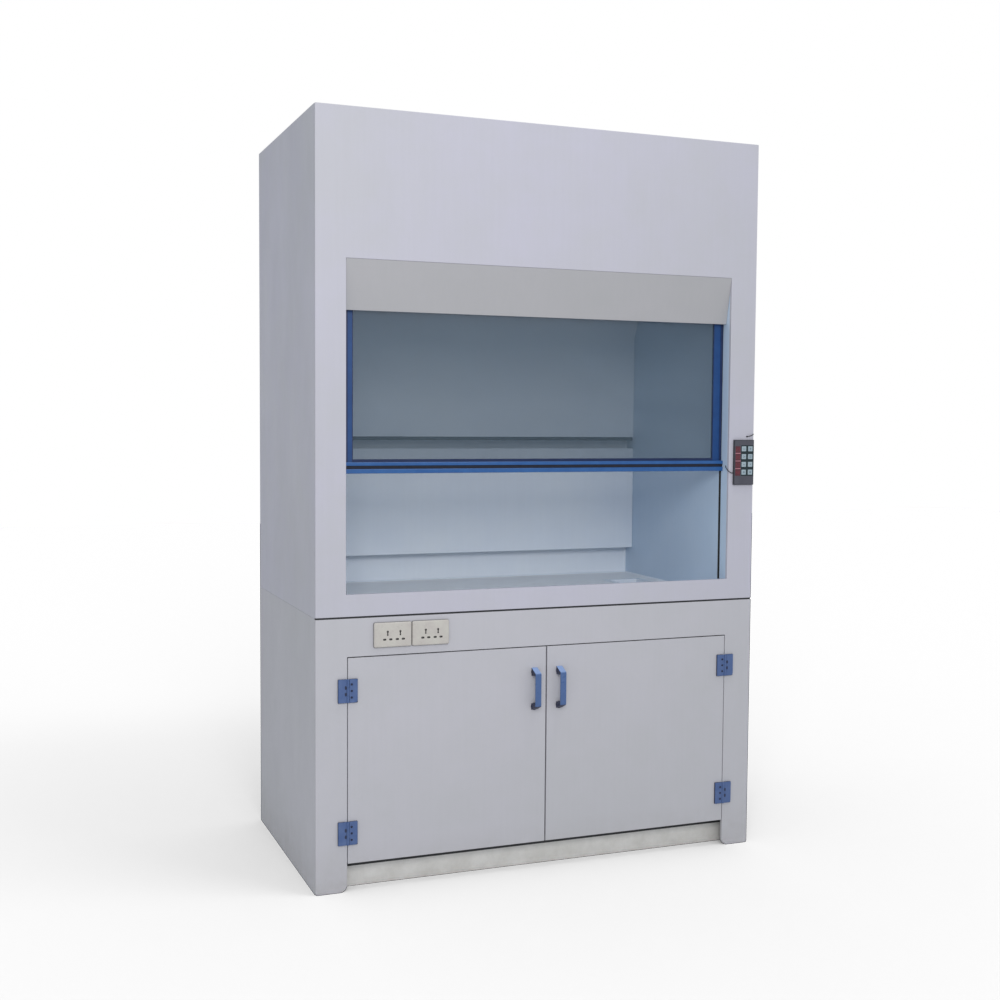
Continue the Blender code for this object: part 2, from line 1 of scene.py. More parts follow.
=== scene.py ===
"""Looks of the fume hood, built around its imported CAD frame: materials, fittings, glass, light and camera."""

from math import ceil, cos, pi, radians, sin

import bmesh
import bpy
from mathutils import Matrix, Vector


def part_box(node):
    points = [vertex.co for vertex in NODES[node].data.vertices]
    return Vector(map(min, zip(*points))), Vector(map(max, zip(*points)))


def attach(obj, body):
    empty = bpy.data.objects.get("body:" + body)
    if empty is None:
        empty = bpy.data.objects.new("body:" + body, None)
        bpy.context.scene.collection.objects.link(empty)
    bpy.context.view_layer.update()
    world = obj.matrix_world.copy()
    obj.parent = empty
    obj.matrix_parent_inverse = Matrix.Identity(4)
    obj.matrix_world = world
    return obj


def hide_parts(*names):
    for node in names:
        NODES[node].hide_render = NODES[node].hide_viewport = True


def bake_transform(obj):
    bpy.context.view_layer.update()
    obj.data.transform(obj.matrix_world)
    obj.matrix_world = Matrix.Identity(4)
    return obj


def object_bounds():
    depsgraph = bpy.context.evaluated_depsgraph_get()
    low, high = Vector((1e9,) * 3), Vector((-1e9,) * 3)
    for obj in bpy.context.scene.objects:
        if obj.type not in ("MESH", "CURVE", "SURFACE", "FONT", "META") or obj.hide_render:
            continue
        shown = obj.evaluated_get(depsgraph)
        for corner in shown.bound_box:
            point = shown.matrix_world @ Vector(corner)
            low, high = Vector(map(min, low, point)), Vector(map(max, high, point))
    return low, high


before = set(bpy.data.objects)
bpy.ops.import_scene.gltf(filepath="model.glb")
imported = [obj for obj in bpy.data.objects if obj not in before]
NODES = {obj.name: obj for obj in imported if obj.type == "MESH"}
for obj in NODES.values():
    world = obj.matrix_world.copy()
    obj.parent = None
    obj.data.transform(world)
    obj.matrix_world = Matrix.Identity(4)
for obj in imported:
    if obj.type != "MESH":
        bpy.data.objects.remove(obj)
CAD_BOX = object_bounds()
SIDES = {"left": -1, "right": 1}
LEVELS = ("upper", "lower")

X = Vector((1, 0, 0))
Y = Vector((0, 1, 0))
Z = Vector((0, 0, 1))
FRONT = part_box("front_panel")[0].y
SEAT = 0.00005  # a fitting stands this far off the face that it is fixed to
RAIL_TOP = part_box("sash_frame")[0].z + 0.034
HANDLE_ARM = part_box("handle_left")[1].z - 0.017  # above this height, a door handle's bow is its upper arm


# ---- materials


def srgb(red, green, blue):
    """A linear colour from 0 to 255 display values."""
    values = (red / 255, green / 255, blue / 255)
    return tuple(v / 12.92 if v <= 0.04045 else ((v + 0.055) / 1.055) ** 2.4 for v in values)


class Paint:
    """A Principled material, with short calls for the nodes that feed it."""

    def __init__(self, name, colour, roughness, **sockets):
        self.made = bpy.data.materials.new(name)
        self.made.use_nodes = True
        self.tree = self.made.node_tree
        self.shader = self.tree.nodes["Principled BSDF"]
        self.shader.inputs["Base Color"].default_value = (*colour, 1)
        self.shader.inputs["Roughness"].default_value = roughness
        for socket, value in sockets.items():
            self.shader.inputs[socket.replace("_", " ")].default_value = value
        self.place = self.node("TexCoord").outputs["Object"]

    def node(self, kind, settings=None, **inputs):
        made = self.tree.nodes.new("ShaderNode" + kind)
        for key, value in (settings or {}).items():
            setattr(made, key, value)
        for key, value in inputs.items():
            self.feed(made.inputs[key.replace("_", " ")], value)
        return made

    def feed(self, socket, value):
        if isinstance(value, bpy.types.NodeSocket):
            self.tree.links.new(value, socket)
        else:
            socket.default_value = value

    def noise(self, scale, detail=2, rough=0.5, stretch=None, shift=0):
        place = self.place
        if stretch or shift:
            along = stretch or (1, 1, 1)
            place = self.node("Mapping", Vector=place, Scale=along, Location=(shift,) * 3).outputs[0]
        made = self.node("TexNoise", Vector=place, Scale=scale, Detail=detail, Roughness=rough)
        return made.outputs["Fac"]

    def spread(self, value, low, high, to_low=0, to_high=1):
        """value from low to high, mapped to the range from to_low to to_high and clamped."""
        made = self.node("MapRange", Value=value)
        ends = {"From Min": low, "From Max": high, "To Min": to_low, "To Max": to_high}
        for name, end in ends.items():
            made.inputs[name].default_value = end
        return made.outputs[0]

    def math(self, operation, a, b):
        made = self.node("Math", {"operation": operation})
        self.feed(made.inputs[0], a)
        self.feed(made.inputs[1], b)
        return made.outputs[0]

    def mix(self, factor, a, b, blend="MIX"):
        made = self.node("Mix", {"data_type": "RGBA", "blend_type": blend})
        self.feed(made.inputs[0], factor)
        for socket, colour in ((made.inputs[6], a), (made.inputs[7], b)):
            self.feed(socket, (*colour, 1) if isinstance(colour, tuple) else colour)
        return made.outputs[2]

    def height(self):
        """Height above the floor of the point at rest."""
        return self.node("SeparateXYZ", Vector=self.place).outputs["Z"]

    def colour(self, value):
        self.feed(self.shader.inputs["Base Color"], value)

    def rough(self, value):
        self.feed(self.shader.inputs["Roughness"], value)

    def relief(self, *layers):
        """Bump from (height, depth in metres) layers, one over the other."""
        normal = None
        for height, depth in layers:
            made = self.node("Bump", Height=height, Distance=depth, Strength=1.0)
            if normal is not None:
                self.feed(made.inputs["Normal"], normal)
            normal = made.outputs["Normal"]
        self.feed(self.shader.inputs["Normal"], normal)


def sheet_paint(name, cool, warm, dusty, roughness=0.42):
    """Extruded plastic sheet: clouded tint, faint draw lines, orange-peel skin, dust near the floor."""
    paint = Paint(name, cool, roughness, IOR=1.49)
    clouds = paint.noise(1.3, 3, 0.55)
    blotches = paint.noise(9, 4, 0.62, shift=3)
    tint = paint.math("ADD", paint.math("MULTIPLY", clouds, 0.65), paint.math("MULTIPLY", blotches, 0.35))
    base = paint.mix(paint.spread(tint, 0.38, 0.62), cool, warm)
    lines = paint.noise(6, 3, 0.6, stretch=(14, 14, 0.5), shift=7)
    faint = paint.spread(lines, 0.3, 0.7, 0.992, 1.008)
    grey = paint.node("CombineColor", Red=faint, Green=faint, Blue=faint).outputs[0]
    shaded = paint.mix(1.0, base, grey, "MULTIPLY")
    near_floor = paint.spread(paint.height(), 0.0, 0.16, 1.0, 0.0)
    patchy = paint.spread(paint.noise(14, 5, 0.7, shift=11), 0.35, 0.7, 0.15, 0.75)
    soiled = paint.math("MULTIPLY", near_floor, patchy)
    paint.colour(paint.mix(paint.math("MULTIPLY", soiled, 0.5), shaded, dusty))
    smears = paint.noise(5, 5, 0.68, stretch=(1, 1, 0.45), shift=19)
    paint.rough(paint.spread(smears, 0.3, 0.72, roughness - 0.07, roughness + 0.12))
    paint.relief((paint.noise(2.2, 2, shift=23), 0.0030), (paint.noise(420, 2, 0.6), 0.00022))
    return paint.made


def moulded_paint(name, colour, worn, roughness=0.4, grain=900, depth=0.00012, band=None):
    """Injection-moulded plastic with a spark-etched grain and slight fading.

    A band is (start, end, colour, worn): between the two heights the colours change to these, which are
    lighter: a painted highlight on the part of the piece that catches light.
    """
    paint = Paint(name, colour, roughness, IOR=1.5)
    faded = paint.spread(paint.noise(28, 4, 0.65), 0.35, 0.7)
    shown = paint.mix(faded, colour, worn)
    if band:
        start, end, lit_colour, lit_faded = band
        lit_part = paint.spread(paint.height(), start, end)
        shown = paint.mix(lit_part, shown, paint.mix(faded, lit_colour, lit_faded))
    paint.colour(shown)
    paint.rough(paint.spread(paint.noise(60, 3, shift=5), 0.3, 0.7, roughness - 0.06, roughness + 0.1))
    paint.relief((paint.noise(grain, 2, 0.55), depth))
    return paint.made


def steel_paint():
    paint = Paint("stainless", (0.56, 0.57, 0.58), 0.3, Metallic=1.0)
    drawn = paint.noise(60, 4, 0.6, stretch=(1, 1, 18))
    paint.rough(paint.spread(drawn, 0.3, 0.7, 0.22, 0.42))
    paint.colour(paint.mix(paint.noise(35, 3, shift=4), (0.50, 0.51, 0.52), (0.63, 0.64, 0.65)))
    paint.relief((drawn, 0.00008))
    return paint.made


def iron_paint():
    paint = Paint("primed_iron", (0.05, 0.05, 0.055), 0.6, Metallic=0.2)
    skin = paint.noise(160, 6, 0.7)
    chips = paint.spread(paint.noise(30, 6, 0.75, shift=6), 0.62, 0.68)
    paint.colour(paint.mix(chips, (0.045, 0.047, 0.052), (0.16, 0.10, 0.07)))
    paint.rough(paint.spread(skin, 0.3, 0.7, 0.5, 0.75))
    paint.relief((skin, 0.0009), (chips, 0.0002))
    return paint.made


def glass_paint():
    """Tinted sash glass as a thin see-through coat, with wipe marks in its gloss."""
    paint = Paint("sash_glass", srgb(74, 92, 106), 0.06, IOR=1.5, Alpha=0.34)
    wiped = paint.noise(4, 5, 0.7, stretch=(0.35, 1, 1.6))
    paint.rough(paint.spread(wiped, 0.4, 0.75, 0.03, 0.16))
    paint.colour(paint.mix(paint.spread(wiped, 0.35, 0.7), srgb(68, 87, 102), srgb(82, 100, 114)))
    return paint.made


def lens_paint(name, colour, glow=0.0):
    paint = Paint(name, colour, 0.16, IOR=1.49, Coat_Weight=0.4)
    paint.shader.inputs["Emission Color"].default_value = (*colour, 1)
    paint.shader.inputs["Emission Strength"].default_value = glow
    paint.rough(paint.spread(paint.noise(80, 3), 0.3, 0.7, 0.1, 0.26))
    return paint.made


SHELL = sheet_paint("shell_sheet", srgb(187, 186, 199), srgb(184, 184, 192), srgb(150, 146, 138))
BASE = sheet_paint("base_sheet", srgb(187, 186, 193), srgb(183, 183, 188), srgb(150, 146, 138))
# The worktop is painted near white, brighter than the shell sheet: painted light standing in for the light
# falling on it inside the chamber.
WORKTOP = sheet_paint("worktop_sheet", srgb(246, 250, 254), srgb(248, 251, 254), srgb(222, 226, 232), 0.45)
LINER = sheet_paint("liner_sheet", srgb(184, 204, 226), srgb(190, 208, 228), srgb(172, 180, 190), 0.36)
LINTEL = sheet_paint("lintel_sheet", srgb(172, 171, 175), srgb(169, 169, 172), srgb(150, 146, 138))
PLINTH = sheet_paint("plinth_sheet", srgb(224, 223, 221), srgb(218, 217, 214), srgb(140, 134, 122))
# The chamber sheet is painted brighter than the shell sheet: its blue tint is its own, its extra brightness is
# painted light inside the chamber.
CHAMBER = sheet_paint("chamber_sheet", srgb(226, 235, 247), srgb(232, 240, 249), srgb(202, 208, 216), 0.36)
# Painted highlight: below RAIL_TOP the sash's bottom rail is painted a lighter blue than the rest of the frame,
# for the light it catches.
RAIL_LIT_BAND = (RAIL_TOP + 0.0005, RAIL_TOP, srgb(32, 82, 142), srgb(42, 92, 152))
SASH_BLUE = moulded_paint("sash_blue", srgb(17, 61, 117), srgb(25, 70, 127), 0.34, 380, 0.00018, RAIL_LIT_BAND)
# Painted highlight: above HANDLE_ARM the handle's upper arm is painted pale blue, for the light falling on it
# from above.
ARM_LIT_BAND = (HANDLE_ARM, HANDLE_ARM + 0.004, srgb(134, 160, 206), srgb(134, 160, 206))
HANDLE_BLUE = moulded_paint("handle_blue", srgb(66, 94, 142), srgb(76, 102, 150), 0.3, band=ARM_LIT_BAND)
HINGE_BLUE = moulded_paint("hinge_blue", srgb(68, 92, 140), srgb(82, 104, 148), 0.42)
# Navy for the handle pads and the hinge screws and slots, and painted shade: the handle cheeks and the pads
# round the hinge leaves.
NAVY_AND_SHADE = moulded_paint("navy_and_painted_shade", srgb(26, 32, 62), srgb(34, 42, 74), 0.45)
STEEL = steel_paint()
NYLON = moulded_paint("dark_nylon", (0.035, 0.037, 0.042), (0.05, 0.05, 0.055), 0.5)
IRON = iron_paint()
GLASS = glass_paint()
HOUSING = moulded_paint("control_housing", srgb(38, 40, 48), srgb(46, 48, 56), 0.45, 1500)
OVERLAY = moulded_paint("control_overlay", srgb(72, 72, 82), srgb(80, 80, 90), 0.38, 2200, 0.00006)
BEZEL = moulded_paint("keypad_bezel", srgb(14, 34, 40), srgb(20, 42, 48), 0.35, 2200, 0.00004)
KEY = moulded_paint("key_cap", srgb(148, 166, 176), srgb(160, 176, 184), 0.4, 1800, 0.00005)
MARK = moulded_paint("key_mark", srgb(104, 120, 132), srgb(112, 128, 140), 0.5)
OUTLET = moulded_paint("outlet_moulding", srgb(194, 191, 184), srgb(186, 180, 176), 0.3, 1400, 0.00005)
# Near-black pockets: painted shade in the outlets' holes.
POCKET_SHADE = moulded_paint("outlet_pocket_shade", (0.004, 0.004, 0.004), (0.006, 0.006, 0.006), 0.8)
# Dark blue for the glazing beads and the stile brushes; the left brush's extra width is painted shadow of the
# jamb.
BEAD_AND_SHADE = moulded_paint("glazing_blue_and_shade", srgb(14, 34, 76), srgb(20, 42, 86), 0.4, 500)
# Navy for the strip in the sash rail's groove: painted shade in the groove.
GROOVE_SHADE = moulded_paint("groove_painted_shade", srgb(10, 14, 34), srgb(15, 19, 42), 0.55, 500)
# Grey for the rear of each outlet plate's edge: painted shade on the plate's sides.
OUTLET_SHADE = moulded_paint("grey_seal", srgb(92, 90, 90), srgb(100, 98, 98), 0.6)
# Black rubber for the catches, leads and grommets, and painted shade: the slot linings and the strips by the
# baffle, on the plinth and in the hood-base seam.
RUBBER_AND_SHADE = moulded_paint("black_rubber_and_shade", (0.018, 0.019, 0.021), (0.03, 0.03, 0.033), 0.62, 700)
WINDOW_RED = lens_paint("display_window", srgb(84, 26, 40))
LIT_RED = lens_paint("display_lit", srgb(120, 36, 50), 0.1)
DIVIDER = moulded_paint("display_divider", srgb(172, 108, 120), srgb(184, 120, 132), 0.4)
DIFFUSER = moulded_paint("lamp_diffuser", srgb(222, 228, 232), srgb(232, 236, 238), 0.5, 500)
TUBE_WHITE = moulded_paint("lamp_tube", srgb(238, 240, 242), srgb(244, 245, 246), 0.15)


# ---- mesh tools


def rounded_rect(centre, size, radius, inset=0.0, steps=5):
    """Outline of a rectangle with round corners, as (across, up) pairs."""
    reach_x, reach_z = size[0] / 2 - inset, size[1] / 2 - inset
    turn = max(radius - inset, 0.00005)
    points = []
    for quarter, (toward_x, toward_z) in enumerate(((1, 1), (-1, 1), (-1, -1), (1, -1))):
        for step in range(steps + 1):
            angle = (quarter + step / steps) * pi / 2
            across = centre[0] + toward_x * (reach_x - turn) + turn * cos(angle)
            up = centre[1] + toward_z * (reach_z - turn) + turn * sin(angle)
            points.append((across, up))
    return points


def circle(centre, radius, steps=20, start=0.0, sweep=2 * pi):
    """Points on an arc, without its last point where it is a full turn."""
    full = abs(sweep - 2 * pi) < 1e-9
    count = steps if full else steps + 1
    angles = [start + sweep * step / steps for step in range(count)]
    return [(centre[0] + radius * cos(a), centre[1] + radius * sin(a)) for a in angles]


def smooth_route(points, steps=6):
    """Catmull-Rom curve through the points."""
    points = [Vector(p) for p in points]
    padded = [2 * points[0] - points[1], *points, 2 * points[-1] - points[-2]]
    route = []
    for a, b, c, d in zip(padded, padded[1:], padded[2:], padded[3:]):
        for step in range(steps):
            t = step / steps
            bend, twist = 2 * a - 5 * b + 4 * c - d, 3 * b - a - 3 * c + d
            route.append(0.5 * (2 * b + (c - a) * t + bend * t**2 + twist * t**3))
    return [*route, points[-1]]


def blunt(corners, radii, steps=4):
    """The closed outline with each corner replaced by an arc-like curve of the given reach."""
    points = []
    count = len(corners)
    for number, reach in enumerate(radii):
        corner = Vector(corners[number])
        if not reach:
            points.append(tuple(corner))
            continue
        start = corner + (Vector(corners[number - 1]) - corner).normalized() * reach
        end = corner + (Vector(corners[(number + 1) % count]) - corner).normalized() * reach
        for step in range(steps + 1):
            t = step / steps
            points.append(tuple((1 - t) ** 2 * start + 2 * t * (1 - t) * corner + t**2 * end))
    return points


def placed(name, data):
    made = bpy.data.objects.new(name, data)
    bpy.context.scene.collection.objects.link(made)
    return made


def new_mesh():
    return bmesh.new()


def ring(mesh, points):
    return [mesh.verts.new(p) for p in points]


def skin(mesh, first, second, index=0):
    """Faces between two rings of the same length."""
    for here in range(len(first)):
        after = (here + 1) % len(first)
        face = mesh.faces.new((first[here], first[after], second[after], second[here]))
        face.material_index = index


def cap(mesh, points, index=0):
    mesh.faces.new(points).material_index = index


def loft(mesh, rings):
    """A closed solid through the rings."""
    made = [ring(mesh, points) for points in rings]
    for first, second in zip(made, made[1:]):
        skin(mesh, first, second)
    cap(mesh, made[0])
    cap(mesh, made[-1])


def slab(mesh, low, high):
    corners = [(low[0], low[1]), (high[0], low[1]), (high[0], high[1]), (low[0], high[1])]
    loft(mesh, [[(x, y, z) for x, y in corners] for z in (low[2], high[2])])


def plate(mesh, outline, near, far, axis="Y"):
    """A closed prism whose outline lies across the axis."""
    order = {"X": (2, 0, 1), "Y": (0, 2, 1), "Z": (0, 1, 2)}[axis]
    loft(mesh, [[[(a, b, c)[n] for n in order] for a, b in outline] for c in (near, far)])


def lathe(mesh, profile, centre, axis, steps=24):
    """A solid turned from (radius, distance along the axis) pairs. Radius 0 closes an end."""
    turn = Z.rotation_difference(Vector(axis)).to_matrix()
    made = []
    for radius, along in profile:
        if radius == 0:
            made.append([mesh.verts.new(Vector(centre) + turn @ Vector((0, 0, along)))])
            continue
        points = [Vector((x, y, along)) for x, y in circle((0, 0), radius, steps)]
        made.append(ring(mesh, [Vector(centre) + turn @ p for p in points]))
    for first, second in zip(made, made[1:]):
        if len(first) == len(second) == steps:
            skin(mesh, first, second)
            continue
        tip, rim = (first[0], second) if len(first) == 1 else (second[0], first)
        for here in range(steps):
            mesh.faces.new((tip, rim[here], rim[(here + 1) % steps]))
    for end in (made[0], made[-1]):
        if len(end) == steps and profile[0] != profile[-1]:
            cap(mesh, end)


def sections(route, outline):
    """Rings of an outline of (side, up) pairs, swept along a route."""
    side = None
    rings = []
    for number, point in enumerate(route):
        before = route[max(number - 1, 0)]
        after = route[min(number + 1, len(route) - 1)]
        along = (after - before).normalized()
        if side is None:
            side = along.cross(X if abs(along.x) < 0.9 else Z).normalized()
        side = (side - along * side.dot(along)).normalized()
        up = side.cross(along)
        rings.append([point + side * a + up * b for a, b in outline])
    return rings


def tube(mesh, route, radius, sides=8):
    loft(mesh, sections(route, circle((0, 0), radius, sides)))


FILLET = (0, pi / 6, pi / 3, pi / 2)  # where a weld bead's outline has its points
RIPPLE = 0.005


def weld_bead(mesh, start, end, side, up, size=0.004):
    """A rippled fillet laid in the corner between two faces, whose normals are side and up."""
    start, end, side, up = Vector(start), Vector(end), Vector(side), Vector(up)
    count = ceil((end - start).length / RIPPLE)
    rings = []
    for step in range(count + 1):
        corner = start.lerp(end, step / count) + SEAT * (side + up)
        swell = 0.98 * size * (1 + 0.10 * (step % 3) - 0.04 * sin(step * 1.7))
        rings.append([corner, *(corner + swell * (side * cos(a) + up * sin(a)) for a in FILLET)])
    loft(mesh, rings)


def screw_head(mesh, at, normal, radius):
    """A domed head with a cross recess, sitting on a face whose normal is given."""
    at, normal = Vector(at), Vector(normal)
    turn = Z.rotation_difference(normal).to_matrix()
    rise = 0.55 * radius

    def put(points, height):
        return ring(mesh, [at + turn @ Vector((a, b, height + SEAT)) for a, b in points])

    dome = [(radius, 0.0), (radius, 0.25 * rise), (0.88 * radius, 0.65 * rise), (0.66 * radius, rise)]
    steps = 20
    made = [put(circle((0, 0), r, steps), height) for r, height in dome]
    for first, second in zip(made, made[1:]):
        skin(mesh, first, second)
    cap(mesh, made[0])
    long, wide = 0.5 * radius, 0.13 * radius
    corners = [(wide, wide), (wide, long), (-wide, long), (-wide, wide), (-long, wide), (-long, -wide)]
    cross = corners + [(-a, -b) for a, b in corners]
    top = put(cross, rise)
    floor = put([(0.8 * a, 0.8 * b) for a, b in cross], 0.35 * rise)
    skin(mesh, top, floor)
    cap(mesh, floor)
    fill_between(mesh, made[-1], [top])


def loop_edges(mesh, points):
    edges = []
    for here, point in enumerate(points):
        after = points[(here + 1) % len(points)]
        edges.append(mesh.edges.get((point, after)) or mesh.edges.new((point, after)))
    return edges


def fill_between(mesh, outer, holes):
    """A flat face inside the outer loop and outside the holes."""
    edges = loop_edges(mesh, outer)
    for hole in holes:
        edges += loop_edges(mesh, hole)
    bmesh.ops.triangle_fill(mesh, edges=edges, use_beauty=True)


def moulding(mesh, centre, size, radius, back, front, edge, holes=(), pocket=0.005):
    """A plate that faces -Y, with a rounded front edge and pockets, which take its second material."""
    turns = 5
    outlines = [(rounded_rect(centre, size, radius), back)]
    for step in range(turns + 1):
        angle = step / turns * pi / 2
        inset = edge * (1 - cos(angle))
        outlines.append((rounded_rect(centre, size, radius, inset), front + edge * (1 - sin(angle))))
    made = [ring(mesh, [(x, y, z) for x, z in outline]) for outline, y in outlines]
    for first, second in zip(made, made[1:]):
        skin(mesh, first, second)
    cap(mesh, made[0])
    mouths = []
    for outline in holes:
        mouth = ring(mesh, [(x, front, z) for x, z in outline])
        floor = ring(mesh, [(x, front + pocket, z) for x, z in outline])
        skin(mesh, mouth, floor, 1)
        cap(mesh, floor, 1)
        mouths.append(mouth)
    fill_between(mesh, made[-1], mouths)


def soften(obj, width):
    bevel = obj.modifiers.new("edges", "BEVEL")
    bevel.width = width
    bevel.segments = 2
    bevel.limit_method = "ANGLE"
    bevel.angle_limit = radians(35)
    bevel.harden_normals = True
    bevel.use_clamp_overlap = True


def piece(name, mesh, body, *materials, slot=None, bevel=0.0, crease=35):
    """Turns the mesh into a shown piece that rides on a CAD body."""
    bmesh.ops.recalc_face_normals(mesh, faces=mesh.faces)
    data = bpy.data.meshes.new(name)
    mesh.to_mesh(data)
    mesh.free()
    for material in materials:
        data.materials.append(material)
    data.shade_smooth()
    if not bevel:
        data.set_sharp_from_angle(angle=radians(crease))
    made = placed(name, data)
    if bevel:
        soften(made, bevel)
    if body:
        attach(made, body)
    return made


def middle(node):
    low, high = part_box(node)
    return (low + high) / 2


def front_view(node, margin=0.0):
    """Centre and size of a node seen from the front, as (across, up) pairs."""
    low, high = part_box(node)
    centre = ((low.x + high.x) / 2, (low.z + high.z) / 2)
    return centre, (high.x - low.x + margin, high.z - low.z + margin)


# ---- CAD nodes


def dress(name, material, edge):
    """Gives a CAD node its material and softens its edges, leaving its mesh as packed."""
    node = NODES[name]
    data = node.data
    if "custom_normal" in data.attributes:
        data.attributes.remove(data.attributes["custom_normal"])
    data.materials.clear()
    data.materials.append(material)
    data.shade_smooth()
    joined = node.modifiers.new("joined", "WELD")
    joined.merge_threshold = 0.00001
    flat = node.modifiers.new("flat", "DECIMATE")
    flat.decimate_type = "DISSOLVE"
    flat.angle_limit = radians(1)
    soften(node, edge)


def dress_all():
    finishes = {
        "base_": (BASE, 0.0014),
        "base_side_": (BASE, 0.0004),
        "inner_shelf": (BASE, 0.0012),
        "plinth_board": (PLINTH, 0.0012),
        "door_": (BASE, 0.0014),
        "hood_": (SHELL, 0.0014),
        "hood_side_": (SHELL, 0.0004),
        "front_panel": (SHELL, 0.0016),
        "lintel_panel": (LINTEL, 0.0010),
        "exhaust_collar": (SHELL, 0.0012),
        "lamp_housing": (SHELL, 0.0008),
        "liner_": (LINER, 0.0008),
        "rear_liner": (CHAMBER, 0.0010),
        "chamber_ceiling": (CHAMBER, 0.0010),
        "baffle_": (CHAMBER, 0.0010),
        "worktop": (WORKTOP, 0.0010),
        "cup_sink": (CHAMBER, 0.0012),
        "sash_frame": (SASH_BLUE, 0.0008),
        "sash_glass": (GLASS, 0.0003),
        "hinge_pin": (STEEL, 0.0003),
        "hinge_": (HINGE_BLUE, 0.0006),
        "pulley_bracket": (STEEL, 0.0004),
        "pulley_": (NYLON, 0.0005),
        "counterweight_": (IRON, 0.0012),
        "control_panel": (HOUSING, 0.0008),
        "key_": (KEY, 0.0005),
    }
    for name in sorted(NODES):
        found = [start for start in finishes if name.startswith(start)]
        if found:
            dress(name, *finishes[max(found, key=len)])


# ---- doors


def door_handle(side):
    """A flat bent strap between two dark cheeks, which widen towards the door, on dark pads. The cheeks are
    partly dark gussets and partly painted shade: their navy darkens the arms' sides, and the lower cheek
    reaches just under the lower arm as painted shade on its underside.
    """
    name = f"handle_{side}"
    low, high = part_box(name)
    x0, x1 = low.x, high.x
    door_y = FRONT - SEAT
    grip = low.y
    thick = 0.0048
    top_corner, low_corner = high.z - 0.0150, low.z + 0.0155
    body = f"door_{side}"
    outer = [(door_y, high.z), (grip, top_corner), (grip, low_corner), (door_y, low.z)]
    inner = [
        (door_y, low.z + 0.0052),
        (grip + thick, low_corner + 0.0034),
        (grip + thick, top_corner - 0.0034),
        (door_y, high.z - 0.0052),
    ]
    mesh = new_mesh()
    plate(mesh, blunt(outer + inner, [0, 0.0035, 0.0050, 0, 0, 0.003, 0.003, 0]), x0, x1, axis="X")
    bow = piece(name + "_bow", mesh, body, HANDLE_BLUE, slot="blue_handle", bevel=0.0011)
    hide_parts(name)
    # Cheeks: partly dark gussets, partly painted shade on the arms' sides and under the lower arm.
    upper = [
        (door_y, high.z - 0.0006),
        (grip + 0.0016, top_corner - 0.0004),
        (grip + 0.0044, top_corner - 0.0080),
        (door_y, high.z - 0.0260),
    ]
    lower = [
        (door_y, low.z + 0.0200),
        (grip + 0.0052, low_corner + 0.0080),
        (grip + 0.0022, low_corner - 0.0016),
        (door_y, low.z - 0.0006),
    ]
    mesh = new_mesh()
    for outline in (upper, lower):
        plate(mesh, blunt(outline, [0, 0.001, 0.003, 0]), x0 - 0.0004, x1 + 0.0004, axis="X")
    piece(name + "_cheeks_and_painted_shade", mesh, body, NAVY_AND_SHADE, slot="blue_handle", bevel=0.0006)
    mesh = new_mesh()
    rosette = [(0.0, 0.0), (0.0116, 0.0), (0.0116, 0.0022), (0.0102, 0.0040), (0.0, 0.0046)]
    for foot_z in (high.z - 0.0138, low.z + 0.0100):
        lathe(mesh, rosette, ((x0 + x1) / 2, door_y, foot_z), -Y, 32)
    piece(name + "_pads", mesh, body, NAVY_AND_SHADE, slot="blue_handle")
    mesh = new_mesh()
    door_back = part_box(body)[1].y
    for foot_z in (high.z - 0.013, low.z + 0.010):
        screw_head(mesh, ((x0 + x1) / 2, door_back, foot_z), Y, 0.0045)
    piece(name + "_screws", mesh, body, STEEL, slot="steel")


def hinge_details(side, level):
    """Dark screws in the door leaf, two dark slots in the frame leaf, and a dark pad behind each leaf, whose
    rim beyond the leaf's outer and lower edges is painted shade.
    """
    door_leaf, frame_leaf = (f"hinge_{part}_leaf_{side}_{level}" for part in ("door", "frame"))
    pin = middle(f"hinge_pin_{side}_{level}")
    outward = SIDES[side]
    plate_y = FRONT - 0.0063
    mesh = new_mesh()
    for rise in (0.020, 0.0, -0.020):
        screw_head(mesh, (pin.x - outward * 0.0114, plate_y, pin.z + rise), -Y, 0.0034)
    piece(door_leaf + "_screws", mesh, f"door_{side}", NAVY_AND_SHADE, slot="blue_hinge")
    mesh = new_mesh()
    for rise in (0.0100, -0.0100):
        slot = rounded_rect((pin.x + outward * 0.0074, pin.z + rise), (0.0056, 0.0110), 0.0027)
        plate(mesh, slot, plate_y - 0.0002, plate_y + 0.0005)
    piece(frame_leaf + "_slots", mesh, "root", NAVY_AND_SHADE, slot="blue_hinge")
    # Pads: their rim beyond each leaf's outer and lower edges is painted shade.
    for leaf, body, away in ((door_leaf, f"door_{side}", -outward), (frame_leaf, "root", outward)):
        low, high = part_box(leaf)
        end = (high.x if away > 0 else low.x) + away * 0.0010
        xs = sorted((pin.x + away * 0.0048, end))
        centre = ((xs[0] + xs[1]) / 2, (low.z + high.z) / 2 - 0.0004)
        mesh = new_mesh()
        outline = rounded_rect(centre, (xs[1] - xs[0], high.z - low.z + 0.0016), 0.0022)
        plate(mesh, outline, FRONT - SEAT, FRONT - 0.0034)
        piece(leaf + "_pad", mesh, body, NAVY_AND_SHADE, slot="blue_hinge", bevel=0.0004)


def door_backs(side):
    """Stiffening battens welded inside the door."""
    low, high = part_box(f"door_{side}")
    inset, wide, thick = 0.035, 0.030, 0.010
    x0, x1 = low.x + inset, high.x - inset
    z0, z1 = low.z + inset, high.z - inset
    y0 = high.y + SEAT
    mesh = new_mesh()
    slab(mesh, (x0, y0, z0), (x1, y0 + thick, z0 + wide))
    slab(mesh, (x0, y0, z1 - wide), (x1, y0 + thick, z1))
    slab(mesh, (x0, y0, z0 + wide + 0.0003), (x0 + wide, y0 + thick, z1 - wide - 0.0003))
    slab(mesh, (x1 - wide, y0, z0 + wide + 0.0003), (x1, y0 + thick, z1 - wide - 0.0003))
    piece(f"door_{side}_battens", mesh, f"door_{side}", SHELL, slot="shell_sheet", bevel=0.0015)


